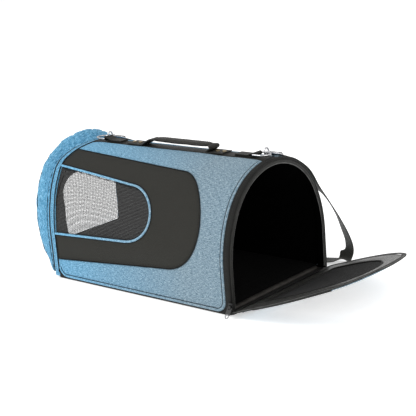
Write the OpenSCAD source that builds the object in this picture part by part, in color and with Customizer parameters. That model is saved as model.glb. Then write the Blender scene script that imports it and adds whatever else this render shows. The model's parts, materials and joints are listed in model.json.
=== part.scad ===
// Soft-sided pet carrier: arched cabin with mesh windows, a domed zip door at the left end,
// a flat zip door folded open at the right end, a carry handle and a clipped shoulder strap.
// +X runs along the length towards the open door, +Y to the back, +Z up; the floor is z = 0.

/* [Cabin] */
// overall length of the cabin between its two end rims
body_l = 450; // [440:1:470]
// overall width at the straight part of the sides
body_w = 288; // [284:1:292]
// height of the arch above the floor
body_h = 248; // [242:1:256]
// radius of the arch's crown
crown_r = 136; // [134:1:138]
// radius of the side curve under the crown
side_r = 206; // [200:1:212]
// thickness of the padded wall
wall_t = 4; // [3.5:0.5:5]
// width of the black end rims
rim_w = 12; // [10:1:14]
// radius of the side fabric's lower corners
corner_r = 22; // [16:1:26]

/* [Base] */
// thickness of the bottom panel
base_t = 4; // [3:0.5:5]
// thickness of the loose stiffening board
board_t = 4; // [3:0.5:5]
// thickness of the padded floor mat
mat_t = 10; // [8:1:12]

/* [Windows] */
// height of the side window's middle above the floor
window_z = 150; // [146:1:154]
// radius of the side window's rounded end
window_r = 49; // [46:1:50]
// width of the window piping
piping_w = 4; // [3:0.5:5]

/* [Doors] */
// angle of the open right door above the floor
open_angle = 19; // [10:1:40]
// width of the right door's fabric border
border_w = 38; // [34:1:42]
// thickness of the right door's border
border_t = 4; // [3:0.5:4.5]
// radius of the puffy roll around the left door
roll_r = 25; // [22:1:26]

/* [Handle and strap] */
// width of the webbing on the ridge
ridge_w = 34; // [30:1:36]
// width of the handle's webbing
handle_w = 30; // [26:1:32]
// width of the shoulder strap
strap_w = 30; // [26:1:31]
// thickness of the shoulder strap
strap_t = 2.4; // [2:0.2:3]

/* [Hidden] */

hx = body_l / 2;
hy = body_w / 2;
crown_z = body_h - crown_r;
phi = acos((side_r - hy) / (side_r - crown_r));
side_c = side_r - hy;
side_z = crown_z - (side_r - crown_r) * sin(phi);
rim_x = hx - rim_w;
big = 900;
// hinge line shared by the end doors
hinge_x = hx + 5;
hinge_z = 5.5;
door_foot = 9;
// height of the dark side panel's middle
panel_z = body_h - 102;
// lowest point of the left door's mesh
mesh_foot = body_h - 189;
// ring bar above the ridge
bar_x = 188;
bar_z = body_h + 7.5;
ring_leg = 13;
// height of the sliders' bails, and the pulls' lean away from the cabin
slider_z = 18;
pull_lean = 40;
tab_w = 22;
// swing of the open door away from its closed place
door_swing = 90 - open_angle;

blue = [0.47, 0.66, 0.76];
dark = [0.2, 0.2, 0.18];
black = [0.06, 0.06, 0.06];
mesh = [0.3, 0.3, 0.3];
piping = [0.6, 0.82, 0.93];
metal = [0.8, 0.8, 0.8];

// 2D x becomes world Y, 2D y becomes world Z, extrusion runs along world X
module on_x(x0) {
    translate([x0, 0, 0])
        rotate([90, 0, 90])
            children();
}

// 2D x becomes world X, 2D y becomes world Z, extrusion runs from y = 0 to the front
module to_front(depth) {
    rotate([90, 0, 0])
        linear_extrude(height = depth)
            children();
}

module across(width) {
    translate([0, width / 2, 0])
        to_front(width)
            children();
}

// the arch's outline, inset by t, standing on the level foot
module arch2d(t = 0, foot = 0) {
    up = [big * cos(phi) - side_c, side_z + big * sin(phi)];
    intersection() {
        union() {
            translate([0, crown_z])
                circle(r = crown_r - t, $fn = 128);
            intersection() {
                translate([-side_c, side_z])
                    circle(r = side_r - t, $fn = 128);
                polygon([[-side_c, side_z], [big, side_z], up]);
            }
            intersection() {
                translate([side_c, side_z])
                    circle(r = side_r - t, $fn = 128);
                polygon([[side_c, side_z], [-up[0], up[1]], [-big, side_z]]);
            }
            translate([-hy + t, -20])
                square([body_w - 2 * t, side_z + 20]);
        }
        translate([-big, foot])
            square([2 * big, big]);
    }
}

module ring2d(outer, inner, foot) {
    difference() {
        arch2d(outer, foot);
        arch2d(inner, foot - 5);
    }
}

module wall(x0, x1, outer, inner, foot) {
    on_x(x0)
        linear_extrude(height = x1 - x0)
            ring2d(outer, inner, foot);
}

// sweeps a section (x = inset from the outline, y = distance along +X) around the arch
module arch_sweep(x0, foot) {
    on_x(x0)
        translate([0, crown_z, 0])
            rotate([0, 0, phi])
                rotate_extrude(angle = 180 - 2 * phi, $fn = 96)
                    translate([crown_r, 0])
                        mirror([1, 0])
                            children();
    for (s = [0, 1])
        mirror([0, s, 0]) {
            on_x(x0)
                translate([-side_c, side_z, 0])
                    rotate_extrude(angle = phi, $fn = 96)
                        translate([side_r, 0])
                            mirror([1, 0])
                                children();
            translate([x0, hy, foot])
                linear_extrude(height = side_z - foot)
                    rotate([0, 0, -90])
                        children();
        }
}

module rounded_plate(lx, ly, h, r) {
    union() {
        translate([-lx / 2 + r, -ly / 2, 0])
            cube([lx - 2 * r, ly, h]);
        translate([-lx / 2, -ly / 2 + r, 0])
            cube([lx, ly - 2 * r, h]);
        for (sx = [-1, 1], sy = [-1, 1])
            translate([sx * (lx / 2 - r), sy * (ly / 2 - r), 0])
                cylinder(r = r, h = h, $fn = 48);
    }
}

// outline of the dark side panel, seen from the front
module panel_xz(g = 0) {
    translate([73, panel_z])
        circle(r = 82 + g, $fn = 96);
    polygon([[-hx - 20, panel_z - 109 - g], [73, panel_z - 82 - g],
             [73, panel_z + 82 + g], [-hx - 20, panel_z + 94 + g]]);
}

// outline of the side window, open towards the left rim
module window_xz(g = 0) {
    translate([-13, window_z])
        circle(r = window_r + g, $fn = 96);
    polygon([[-hx - 20, window_z - window_r - 11 - g], [-13, window_z - window_r - g],
             [-13, window_z + window_r + g], [-hx - 20, window_z + window_r + 17 + g]]);
}

// the side fabric's outline with its rounded lower corners
module side_xz(g = 0) {
    r = corner_r - g;
    union() {
        for (s = [-1, 1])
            translate([s * (rim_x - corner_r), base_t + corner_r])
                circle(r = r, $fn = 64);
        translate([-rim_x + corner_r, base_t + g])
            square([2 * (rim_x - corner_r), 300]);
        translate([-rim_x + g, base_t + corner_r])
            square([2 * (rim_x - g), 300]);
    }
}

// ---------- base ----------
module base_panel() {
    color(black)
        rounded_plate(body_l - 2, body_w - 2, base_t, 6);
}

module base_board() {
    color([0.35, 0.3, 0.25])
        translate([0, 0, base_t])
            rounded_plate(body_l - 20, body_w - 2 * wall_t - 14, board_t, 10);
}

module floor_mat() {
    color(black)
        translate([0, 0, base_t + board_t])
            rounded_plate(body_l - 26, body_w - 2 * wall_t - 18, mat_t, 12);
}

// ---------- cabin walls ----------
module arch_shell() {
    color(blue)
        difference() {
            intersection() {
                wall(-rim_x, rim_x, 0, wall_t, base_t);
                across(2 * big)
                    side_xz();
            }
            for (s = [0, 1])
                mirror([0, s, 0])
                    to_front(big)
                        panel_xz();
        }
}

module lining() {
    color(black)
        difference() {
            wall(-rim_x + 1, rim_x - 1, wall_t, wall_t + 1, base_t);
            across(2 * big)
                window_xz();
        }
}

module side_panel() {
    color(dark)
        difference() {
            intersection() {
                wall(-rim_x, rim_x, 0, wall_t, base_t);
                to_front(big)
                    panel_xz();
            }
            to_front(big)
                window_xz();
        }
}

module side_panel_front() {
    side_panel();
}

module side_panel_back() {
    mirror([0, 1, 0])
        side_panel();
}

module window_mesh() {
    color(mesh)
        intersection() {
            wall(-rim_x, rim_x, 1.2, 2.6, base_t);
            to_front(big)
                window_xz();
        }
}

module window_mesh_front() {
    window_mesh();
}

module window_mesh_back() {
    mirror([0, 1, 0])
        window_mesh();
}

module window_piping() {
    color(piping)
        intersection() {
            wall(-rim_x, rim_x, -2.2, 0, base_t);
            to_front(big)
                difference() {
                    window_xz(piping_w / 2);
                    window_xz(-piping_w / 2);
                }
        }
}

module window_piping_front() {
    window_piping();
}

module window_piping_back() {
    mirror([0, 1, 0])
        window_piping();
}

module bottom_piping() {
    color(piping)
        intersection() {
            wall(-rim_x, rim_x, -1.8, 0, base_t);
            to_front(big)
                difference() {
                    side_xz(0);
                    side_xz(3.5);
                    translate([-big, 60])
                        square([2 * big, big]);
                }
        }
}

module bottom_piping_front() {
    bottom_piping();
}

module bottom_piping_back() {
    mirror([0, 1, 0])
        bottom_piping();
}

// ---------- end rims with their frame wires ----------
module frame_wire(r) {
    arch_sweep(hx - rim_w / 2, base_t + 4)
        translate([wall_t / 2, 0])
            circle(r = r, $fn = 24);
}

module right_rim() {
    color(black)
        difference() {
            union() {
                wall(rim_x, hx, -0.6, wall_t, base_t);
                intersection() {
                    wall(rim_x - corner_r, rim_x, 0, wall_t, base_t);
                    across(2 * big)
                        difference() {
                            translate([rim_x - corner_r, 0])
                                square([corner_r, base_t + corner_r]);
                            side_xz();
                        }
                }
            }
            frame_wire(1.3);
        }
}

module left_rim() {
    mirror([1, 0, 0])
        right_rim();
}

module right_frame_wire() {
    color(metal)
        frame_wire(1.2);
}

module left_frame_wire() {
    mirror([1, 0, 0])
        right_frame_wire();
}

module right_zip_coil() {
    color([0.35, 0.35, 0.35])
        wall(hx, hx + 1.8, 0.6, 3.4, 12);
}

module left_zip_coil() {
    mirror([1, 0, 0])
        right_zip_coil();
}

// ---------- ridge, handle and ring tabs ----------
module ridge_strip(x0, x1, low, high, w) {
    intersection() {
        wall(x0, x1, -high, -low, body_h / 2);
        translate([x0 - 1, -w / 2, body_h / 2])
            cube([x1 - x0 + 2, w, body_h]);
    }
}

module ridge_webbing() {
    color(black)
        ridge_strip(-hx + 14, hx - 14, 0, 1.8, ridge_w);
}

// webbing path of the handle in the XZ plane: feet, legs and the strip inside the grip
module handle_xz() {
    polygon([[-85, body_h + 2.6], [-81, body_h + 2.6], [-64, body_h + 12.2], [86, body_h + 12.2],
             [77, body_h + 2.6], [81, body_h + 2.6], [92, body_h + 14.6], [-68, body_h + 14.6]]);
}

module handle_webbing() {
    color(black)
        union() {
            ridge_strip(-122, -80, 1.8, 4.2, handle_w);
            ridge_strip(76, 118, 1.8, 4.2, handle_w);
            across(handle_w)
                handle_xz();
        }
}

module handle_grip() {
    color([0.12, 0.1, 0.08])
        difference() {
            across(handle_w + 6)
                union() {
                    translate([-58, body_h + 10.4])
                        square([138, 6]);
                    translate([-58, body_h + 13.4])
                        circle(r = 3, $fn = 24);
                    translate([80, body_h + 13.4])
                        circle(r = 3, $fn = 24);
                }
            across(handle_w + 0.2)
                union() {
                    handle_xz();
                    translate([-70, body_h + 12.1])
                        square([164, 2.6]);
                }
        }
}

module handle_rivets() {
    color([0.75, 0.68, 0.5])
        for (x = [-116, -100, 96, 112])
            translate([x, 0, body_h + 4.2])
                cylinder(r = 4, h = 1.8, $fn = 32);
}

module ring_tab() {
    color(black)
        difference() {
            union() {
                ridge_strip(bar_x - 44, bar_x - 2, 1.8, 4.4, tab_w);
                translate([bar_x, tab_w / 2, bar_z])
                    rotate([90, 0, 0])
                        cylinder(r = 4.2, h = tab_w, $fn = 32);
                translate([bar_x - 12, -tab_w / 2, body_h + 3.4])
                    cube([12, tab_w, 3.2]);
            }
            translate([bar_x, 20, bar_z])
                rotate([90, 0, 0])
                    cylinder(r = 1.8, h = 40, $fn = 32);
        }
}

module right_ring_tab() {
    ring_tab();
}

module left_ring_tab() {
    mirror([1, 0, 0])
        ring_tab();
}

module d_ring() {
    color(metal)
        translate([bar_x, 0, bar_z]) {
            translate([0, ring_leg, 0])
                rotate([90, 0, 0])
                    cylinder(r = 1.5, h = 2 * ring_leg, $fn = 32);
            for (s = [-1, 1])
                translate([0, s * ring_leg, 0]) {
                    sphere(r = 1.5, $fn = 32);
                    rotate([0, 90, 0])
                        cylinder(r = 1.5, h = 14, $fn = 32);
                }
            translate([14, 0, 0])
                rotate([0, 0, -90])
                    rotate_extrude(angle = 180, $fn = 64)
                        translate([ring_leg, 0])
                            circle(r = 1.5, $fn = 32);
        }
}

module right_d_ring() {
    d_ring();
}

module left_d_ring() {
    mirror([1, 0, 0])
        d_ring();
}

// ---------- left door: domed, closed ----------
module roll_section() {
    union() {
        translate([roll_r - 8, 32])
            circle(r = roll_r, $fn = 64);
        polygon([[0.6, 0], [7, 0], [12, 14], [0, 22], [-6, 24]]);
        polygon([[36, 22], [72, 27], [72, 32], [38, 42]]);
    }
}

// everything below this sloping plane is cut away so that the dome tapers to the base
module slope_xz() {
    polygon([[hx, -60], [hx + 4, 2], [hx + 8, 8], [hx + 66, 92], [hx + 160, 92], [hx + 160, -60]]);
}

module left_door_border() {
    color(blue)
        mirror([1, 0, 0])
            difference() {
                union() {
                    arch_sweep(hx + 4, door_foot)
                        roll_section();
                    across(body_w - 68)
                        polygon([[hx + 4, door_foot], [hx + 8.5, door_foot], [hx + 42, mesh_foot - 3],
                                 [hx + 38, mesh_foot], [hx + 33, mesh_foot - 1], [hx + 4, 18]]);
                    intersection() {
                        across(body_w - 3)
                            translate([hx + 4, door_foot])
                                square([4.4, 30]);
                        on_x(hx)
                            linear_extrude(height = 40)
                                arch2d(0.6, 0);
                    }
                }
                across(2 * big)
                    slope_xz();
            }
}

module left_door_mesh() {
    color(mesh)
        on_x(-hx - 34)
            linear_extrude(height = 1.4)
                arch2d(72, mesh_foot);
}

module left_door_coil() {
    color([0.35, 0.35, 0.35])
        mirror([1, 0, 0])
            wall(hx + 2.2, hx + 4, 0.6, 3.4, 12);
}

module door_hinge() {
    color(black)
        union() {
            translate([hinge_x, 120, hinge_z])
                rotate([90, 0, 0])
                    cylinder(r = 2.2, h = 240, $fn = 32);
            translate([hx + 4, -120, hinge_z])
                cube([2, 240, door_foot - hinge_z]);
        }
}

module left_door_hinge() {
    mirror([1, 0, 0])
        door_hinge();
}

// ---------- right door: flat, folded open ----------
module opened() {
    translate([hinge_x, 0, hinge_z])
        rotate([0, door_swing, 0])
            translate([-hinge_x, 0, -hinge_z])
                children();
}

module right_door_border() {
    color(blue)
        opened()
            on_x(hx + 4)
                linear_extrude(height = border_t)
                    difference() {
                        arch2d(1.5, door_foot);
                        arch2d(border_w, door_foot + border_w);
                    }
}

module right_door_trim() {
    color([0.3, 0.3, 0.3])
        opened()
            on_x(hx + 3)
                linear_extrude(height = 1)
                    difference() {
                        arch2d(5, door_foot + 2);
                        arch2d(border_w - 2, door_foot + border_w - 2);
                    }
}

module right_door_mesh() {
    color(mesh)
        opened()
            on_x(hx + 5.2)
                linear_extrude(height = 1.4)
                    arch2d(border_w, door_foot + border_w);
}

module right_door_coil() {
    color([0.35, 0.35, 0.35])
        opened()
            wall(hx + 2.2, hx + 4, 1.5, 4.3, 12);
}

module right_door_hinge() {
    opened()
        door_hinge();
}

// ---------- zip sliders and pulls ----------
module slider() {
    color([0.1, 0.1, 0.1])
        union() {
            translate([hx - 3, -hy - 4.2, slider_z - 5])
                cube([9, 3.2, 13]);
            translate([hx + 1.5, -hy - 1, slider_z + 1])
                rotate([90, 0, 0])
                    cylinder(r = 5, h = 3.2, $fn = 32);
            difference() {
                translate([hx - 1, -hy - 7.6, slider_z - 2.5])
                    cube([5, 3.6, 7]);
                translate([hx - 2, -hy - 5.7, slider_z])
                    rotate([0, 90, 0])
                        cylinder(r = 1.1, h = 8, $fn = 24);
            }
        }
}

// hangs from the slider's bail and leans outwards
module leaning() {
    translate([0, -hy - 5.7, slider_z])
        rotate([-pull_lean, 0, 0])
            children();
}

module pull() {
    color([0.1, 0.1, 0.1])
        leaning() {
            translate([hx - 3.4, 0, 0])
                rotate([0, 90, 0])
                    cylinder(r = 0.8, h = 9.8, $fn = 24);
            for (x = [hx - 3.4, hx + 4.4])
                translate([x, -0.8, -4])
                    cube([2, 1.6, 4]);
            translate([hx - 3.4, -0.8, -13.4])
                cube([9.8, 1.6, 9.4]);
        }
}

module pull_ring() {
    color(metal)
        leaning()
            translate([hx + 1.5, 0, -16.2])
                rotate([90, 0, 0])
                    rotate_extrude($fn = 48)
                        translate([3.3, 0])
                            circle(r = 0.9, $fn = 24);
}

module right_slider() {
    slider();
}

module right_pull() {
    difference() {
        pull();
        pull_ring();
    }
}

module right_pull_ring() {
    pull_ring();
}

module left_slider() {
    rotate([0, 0, 180])
        slider();
}

module left_pull() {
    rotate([0, 0, 180])
        right_pull();
}

module left_pull_ring() {
    rotate([0, 0, 180])
        pull_ring();
}

// ---------- snap hooks on the rings' back legs ----------
hook_at = [198, 14.5, body_h + 9.4];
hook_tilt = -22;
hook_r = 6;
// angle round the hook's eye at which the gate turns on its pin, and at which its tip rests
gate_pin = 62;
gate_tip = 29;

module hook_frame() {
    translate(hook_at)
        rotate([hook_tilt, 0, 0])
            children();
}

module at_gate_pin(length) {
    translate([-length / 2, hook_r * sin(gate_pin), -hook_r * cos(gate_pin)])
        rotate([0, 90, 0])
            children();
}

module hook() {
    color(metal)
        hook_frame()
            difference() {
                union() {
                    rotate([0, 90, 0])
                        rotate([0, 0, 90])
                            rotate_extrude(angle = 290, $fn = 64)
                                translate([hook_r, 0])
                                    circle(r = 1.6, $fn = 32);
                    translate([0, hook_r, 0])
                        rotate([-90, 0, 0])
                            cylinder(r = 1.8, h = 10, $fn = 32);
                    translate([0, 9, 0])
                        rotate([-90, 0, 0])
                            cylinder(r = 3, h = 5, $fn = 32);
                    for (y = [17, 27])
                        translate([-17, y, 0])
                            rotate([0, 90, 0])
                                cylinder(r = 1.6, h = 34, $fn = 32);
                    for (s = [-1, 1])
                        translate([s * 17, 17, 0]) {
                            sphere(r = 1.6, $fn = 32);
                            rotate([-90, 0, 0])
                                cylinder(r = 1.6, h = 10, $fn = 32);
                            translate([0, 10, 0])
                                sphere(r = 1.6, $fn = 32);
                        }
                    at_gate_pin(5.4)
                        cylinder(r = 2.2, h = 5.4, $fn = 32);
                    translate([-2.7, 5.2, -2.6])
                        cube([5.4, 5, 2.6]);
                }
                at_gate_pin(7)
                    cylinder(r = 1.2, h = 7, $fn = 32);
                translate([-1.7, 0.5, -5.6])
                    cube([3.4, 7.3, 3.5]);
            }
}

module hook_gate() {
    color([0.7, 0.7, 0.7])
        hook_frame()
            union() {
                at_gate_pin(5)
                    cylinder(r = 0.9, h = 5, $fn = 32);
                rotate([0, 90, 0])
                    rotate([0, 0, gate_tip])
                        rotate_extrude(angle = gate_pin - gate_tip, $fn = 64)
                            translate([hook_r, 0])
                                circle(r = 1.1, $fn = 32);
            }
}

module right_hook() {
    hook();
}

module left_hook() {
    mirror([1, 0, 0])
        hook();
}

module right_hook_gate() {
    hook_gate();
}

module left_hook_gate() {
    mirror([1, 0, 0])
        hook_gate();
}

// ---------- shoulder strap, lying behind the carrier ----------
// route points from the right hook to the left hook
route = [[198, 42, 245.5], [199, 58, 239], [201, 82, 228], [206, 112, 203], [214, 136, 167],
         [224, 158, 135], [232, 177, 100], [237, 191, 67], [241, 199, 39], [239, 198, 19],
         [224, 190, 7], [190, 181, 2.6], [120, 173, 1.8], [60, 170, 3.6], [0, 169, 1.8],
         [-120, 171, 1.8], [-186, 179, 2.4], [-216, 188, 7.5], [-226, 194, 24], [-224, 190, 54],
         [-219, 178, 93], [-212, 158, 135], [-206, 136, 167], [-203, 112, 203], [-201, 82, 228],
         [-199, 58, 239], [-198, 42, 245.5]];
// direction of the strap's width at each route point
spread = [[1, 0, 0], [1, 0, 0], [1, 0, 0], [1, 0, 0], [1, 0, 0], [1, 0, 0], [1, 0, 0], [1, 0, 0],
          [1, 0.1, 0], [0.85, 0.5, 0], [0.35, 0.9, 0], [0, 1, 0], [0, 1, 0], [0, 1, 0], [0, 1, 0],
          [0, 1, 0], [0, 1, 0], [-0.35, 0.9, 0], [-0.85, 0.5, 0], [-1, 0.1, 0], [-1, 0, 0],
          [-1, 0, 0], [-1, 0, 0], [-1, 0, 0], [-1, 0, 0], [-1, 0, 0], [-1, 0, 0]];
sub = 4;
last = len(route) - 1;

function at(list, i) = list[max(0, min(last, i))];
// Catmull-Rom curve through a list, parameter u from 0 to last
function curve(list, u) =
    let (i = min(last - 1, floor(u)), f = u - i,
         p0 = at(list, i - 1), p1 = at(list, i), p2 = at(list, i + 1), p3 = at(list, i + 2))
    0.5 * (2 * p1 + f * (p2 - p0) + f * f * (2 * p0 - 5 * p1 + 4 * p2 - p3)
           + f * f * f * (3 * p1 - p0 - 3 * p2 + p3));
function unit(v) = v / norm(v);
function strap_frame(k) =
    let (u = k / sub,
         p = curve(route, u),
         t = unit(curve(route, min(last, u + 0.05)) - curve(route, max(0, u - 0.05))),
         w0 = curve(spread, u),
         w = unit(w0 - (w0 * t) * t),
         n = cross(t, w))
    [p, w, n];

module shoulder_strap() {
    steps = last * sub;
    frames = [for (k = [0:steps]) strap_frame(k)];
    points = [for (f = frames)
                  for (c = [[-1, -1], [1, -1], [1, 1], [-1, 1]])
                      f[0] + f[1] * c[0] * strap_w / 2 + f[2] * c[1] * strap_t / 2];
    sides = [for (k = [0:steps - 1])
                 for (j = [0:3])
                     for (tri = [[4 * k + j, 4 * k + (j + 1) % 4, 4 * k + 4 + j],
                                 [4 * k + (j + 1) % 4, 4 * k + 4 + (j + 1) % 4, 4 * k + 4 + j]])
                         tri];
    caps = [[0, 2, 1], [0, 3, 2],
            [4 * steps, 4 * steps + 1, 4 * steps + 2], [4 * steps, 4 * steps + 2, 4 * steps + 3]];
    color(black)
        polyhedron(points = points, faces = concat(sides, caps), convexity = 10);
}

module strap_slider() {
    color(black)
        translate([60, 170, 3.6])
            difference() {
                translate([-11, -20, -3.2])
                    cube([22, 40, 6.4]);
                translate([-12, -15.8, -1.6])
                    cube([24, 31.6, 3.2]);
                translate([-7, -15.8, -5])
                    cube([5, 31.6, 10]);
                translate([2, -15.8, -5])
                    cube([5, 31.6, 10]);
            }
}

base_panel();
base_board();
floor_mat();
arch_shell();
lining();
side_panel_front();
side_panel_back();
window_mesh_front();
window_mesh_back();
window_piping_front();
window_piping_back();
bottom_piping_front();
bottom_piping_back();
left_rim();
right_rim();
left_frame_wire();
right_frame_wire();
left_zip_coil();
right_zip_coil();
ridge_webbing();
handle_webbing();
handle_grip();
handle_rivets();
left_ring_tab();
right_ring_tab();
left_d_ring();
right_d_ring();
left_door_border();
left_door_mesh();
left_door_coil();
left_door_hinge();
right_door_border();
right_door_trim();
right_door_mesh();
right_door_coil();
right_door_hinge();
left_slider();
left_pull();
left_pull_ring();
right_slider();
right_pull();
right_pull_ring();
left_hook();
right_hook();
left_hook_gate();
right_hook_gate();
shoulder_strap();
strap_slider();
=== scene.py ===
import json
import math

import bpy
import numpy as np
from mathutils import Matrix, Vector, noise
from mathutils.geometry import delaunay_2d_cdt


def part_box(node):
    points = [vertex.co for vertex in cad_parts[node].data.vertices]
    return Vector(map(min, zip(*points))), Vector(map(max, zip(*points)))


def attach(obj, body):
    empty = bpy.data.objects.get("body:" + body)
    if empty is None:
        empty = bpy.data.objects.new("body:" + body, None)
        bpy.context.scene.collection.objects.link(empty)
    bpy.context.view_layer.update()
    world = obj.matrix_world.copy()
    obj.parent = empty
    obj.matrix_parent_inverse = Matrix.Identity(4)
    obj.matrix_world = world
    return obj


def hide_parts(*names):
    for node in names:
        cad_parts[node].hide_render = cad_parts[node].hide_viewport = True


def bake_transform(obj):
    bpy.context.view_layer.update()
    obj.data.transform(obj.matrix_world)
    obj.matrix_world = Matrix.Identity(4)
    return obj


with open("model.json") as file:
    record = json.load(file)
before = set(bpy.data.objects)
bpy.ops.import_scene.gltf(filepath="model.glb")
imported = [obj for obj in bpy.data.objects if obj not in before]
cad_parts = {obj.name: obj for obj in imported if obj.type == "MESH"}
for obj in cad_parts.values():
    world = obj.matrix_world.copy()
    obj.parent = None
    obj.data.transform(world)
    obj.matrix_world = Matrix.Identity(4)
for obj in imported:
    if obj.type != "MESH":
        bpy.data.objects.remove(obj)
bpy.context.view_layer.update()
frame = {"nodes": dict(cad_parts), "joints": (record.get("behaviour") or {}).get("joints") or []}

# Every length below is in metres, in the CAD frame: +X along the cabin, +Y to the back, +Z up.

# ---------- sizes taken from the frame ----------
HALF_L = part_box("right_rim")[1].x
RIM_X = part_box("arch_shell")[1].x
HALF_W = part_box("arch_shell")[1].y
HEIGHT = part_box("arch_shell")[1].z
BASE_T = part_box("base_panel")[1].z
CROWN_R = 0.136
SIDE_R = 0.206
CORNER_R = 0.022
SWING = math.radians(frame["joints"][0]["range_deg"][1])
HINGE_X = frame["joints"][0]["pos_m"][0]
HINGE_Z = frame["joints"][0]["pos_m"][2]
DOOR_FOOT = 0.009
DOOR_COIL_FOOT = 0.011
PANEL_X = 0.073
PANEL_Z = HEIGHT - 0.102
PANEL_R = 0.082
PANEL_DOWN = 0.109
PANEL_UP = 0.094
WINDOW_X = -0.030
WINDOW_REACH = 0.066
WINDOW_Z = HEIGHT - 0.098
WINDOW_R = 0.049
WINDOW_DOWN = 0.060
WINDOW_UP = 0.066
MESH_FOOT = HEIGHT - 0.189
MESH_INSET = 0.072
BORDER_W = 0.038
NET_X = HALF_L + 0.0334
CLOTH_T = 0.0036
CLOTH_PITCH = 0.0042
LINING_DEPTH = 0.0046
RIDGE_HALF = 0.017
RING_BAR_X = 0.188
HANDLE_W = 0.030
ARCH_STEPS = 180
FOOT_STEPS = 60
SIM_FRAMES = 14

# ---------- the arch, as a line of length s from the ridge, negative to the front ----------
CROWN_Z = HEIGHT - CROWN_R
PHI = math.acos((SIDE_R - HALF_W) / (SIDE_R - CROWN_R))
SIDE_C = SIDE_R - HALF_W
SIDE_Z = CROWN_Z - (SIDE_R - CROWN_R) * math.sin(PHI)
S_CROWN = CROWN_R * (math.pi / 2 - PHI)
S_SIDE = S_CROWN + SIDE_R * PHI


def arch(s):
    """Height, breadth and outward normal (y, z, ny, nz) at arc length s from the ridge."""
    s = np.asarray(s, float)
    side = np.where(s < 0, -1.0, 1.0)
    a = np.abs(s)
    turn = np.where(a < S_CROWN, math.pi / 2 - a / CROWN_R, np.clip(PHI - (a - S_CROWN) / SIDE_R, 0, PHI))
    radius = np.where(a < S_CROWN, CROWN_R, SIDE_R)
    y0 = np.where(a < S_CROWN, 0.0, -SIDE_C)
    z0 = np.where(a < S_CROWN, CROWN_Z, SIDE_Z)
    y = y0 + radius * np.cos(turn)
    z = z0 + radius * np.sin(turn) - np.maximum(a - S_SIDE, 0)
    return side * y, z, side * np.cos(turn), np.sin(turn)


# how far the left rim's soft shoulders bow outward at each arc length from the ridge
BOW_AT = [0.0, 0.025, 0.052, 0.085, 0.104, 0.124, 0.176, 0.212, 0.247]
BOW_BY = [0.0, 0.005, 0.014, 0.022, 0.020, 0.015, 0.006, 0.002, 0.0]


def bow(x, s):
    """Outward shift of the cloth near the left rim, growing from mid-cabin to the rim."""
    share = np.clip((-np.asarray(x, float) - 0.06) / 0.153, 0, 1) ** 2
    return share * np.interp(np.abs(s), BOW_AT, BOW_BY)


def on_arch(x, s, out):
    """The point `out` proud of the arch's surface, at length x and arc length s."""
    y, z, ny, nz = arch(s)
    return np.stack([x + 0 * y - bow(x, s), y + ny * out, z + nz * out], -1)


def raised(line, out):
    """A line of (x, s) raised off the arch by `out`, and the outward direction at each of its points."""
    path = on_arch(line[:, 0], line[:, 1], out)
    return path, on_arch(line[:, 0], line[:, 1], 1.0) - path


def across_arch(x, s, out):
    """The same for a line over the arch at one length x."""
    return raised(np.stack([np.full(len(s), x), s], -1), out)


TABLE_S = np.linspace(0, S_SIDE + SIDE_Z + 0.02, 400)
TABLE_Z = arch(TABLE_S)[1]


def s_of_z(z):
    return np.interp(-np.asarray(z, float), -TABLE_Z, TABLE_S)


S_FOOT = float(s_of_z(BASE_T))


# ---------- camera, light and floor ----------
CAMERA_PLACE = (1.43663, -1.55402, 0.70288)
# azimuth, elevation and roll in degrees; lens and sensor in millimetres
CAMERA_TURN = (41.51, 15.2, -4.43)
CAMERA_LENS = 98.9
CAMERA_SENSOR = 36


def make_camera():
    azimuth, elevation, roll = np.radians(CAMERA_TURN)
    level = math.cos(elevation)
    back = Vector((math.sin(azimuth) * level, -math.cos(azimuth) * level, math.sin(elevation)))
    right = Vector((math.cos(azimuth), math.sin(azimuth), 0))
    up = back.cross(right)
    right, up = (math.cos(roll) * right + math.sin(roll) * up, -math.sin(roll) * right + math.cos(roll) * up)
    data = bpy.data.cameras.new("camera")
    data.lens = CAMERA_LENS
    data.sensor_width = CAMERA_SENSOR
    camera = bpy.data.objects.new("camera", data)
    camera.matrix_world = Matrix((right, up, back)).transposed().to_4x4()
    camera.location = CAMERA_PLACE
    bpy.context.scene.collection.objects.link(camera)
    bpy.context.scene.camera = camera


def area_light(name, place, target, size, power):
    data = bpy.data.lights.new(name, "AREA")
    data.shape = "DISK"
    data.size = size
    data.energy = power
    light = bpy.data.objects.new(name, data)
    light.location = place
    light.rotation_euler = (Vector(target) - Vector(place)).to_track_quat("-Z", "Y").to_euler()
    bpy.context.scene.collection.objects.link(light)


# the white surround's strength as light, and as the camera sees it
WORLD_LIGHT = 0.72
WORLD_SEEN = 1.02


def make_light():
    """Soft key and fill from both sides, in a white surround."""
    middle = (0, 0, 0.1)
    area_light("key", (-1.2, -1.6, 2.2), middle, 1.6, 34)
    area_light("fill", (2.0, -0.6, 1.4), middle, 1.8, 12)
    world = bpy.data.worlds.new("studio")
    world.use_nodes = True
    tree = world.node_tree
    background = tree.nodes["Background"]
    background.inputs["Color"].default_value = (1, 1, 1, 1)
    seen = tree.nodes.new("ShaderNodeLightPath").outputs["Is Camera Ray"]
    strength = tree.nodes.new("ShaderNodeMapRange")
    strength.inputs["To Min"].default_value = WORLD_LIGHT
    strength.inputs["To Max"].default_value = WORLD_SEEN
    tree.links.new(seen, strength.inputs["Value"])
    tree.links.new(strength.outputs[0], background.inputs["Strength"])
    bpy.context.scene.world = world
    bpy.context.scene.view_settings.view_transform = "Standard"


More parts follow.
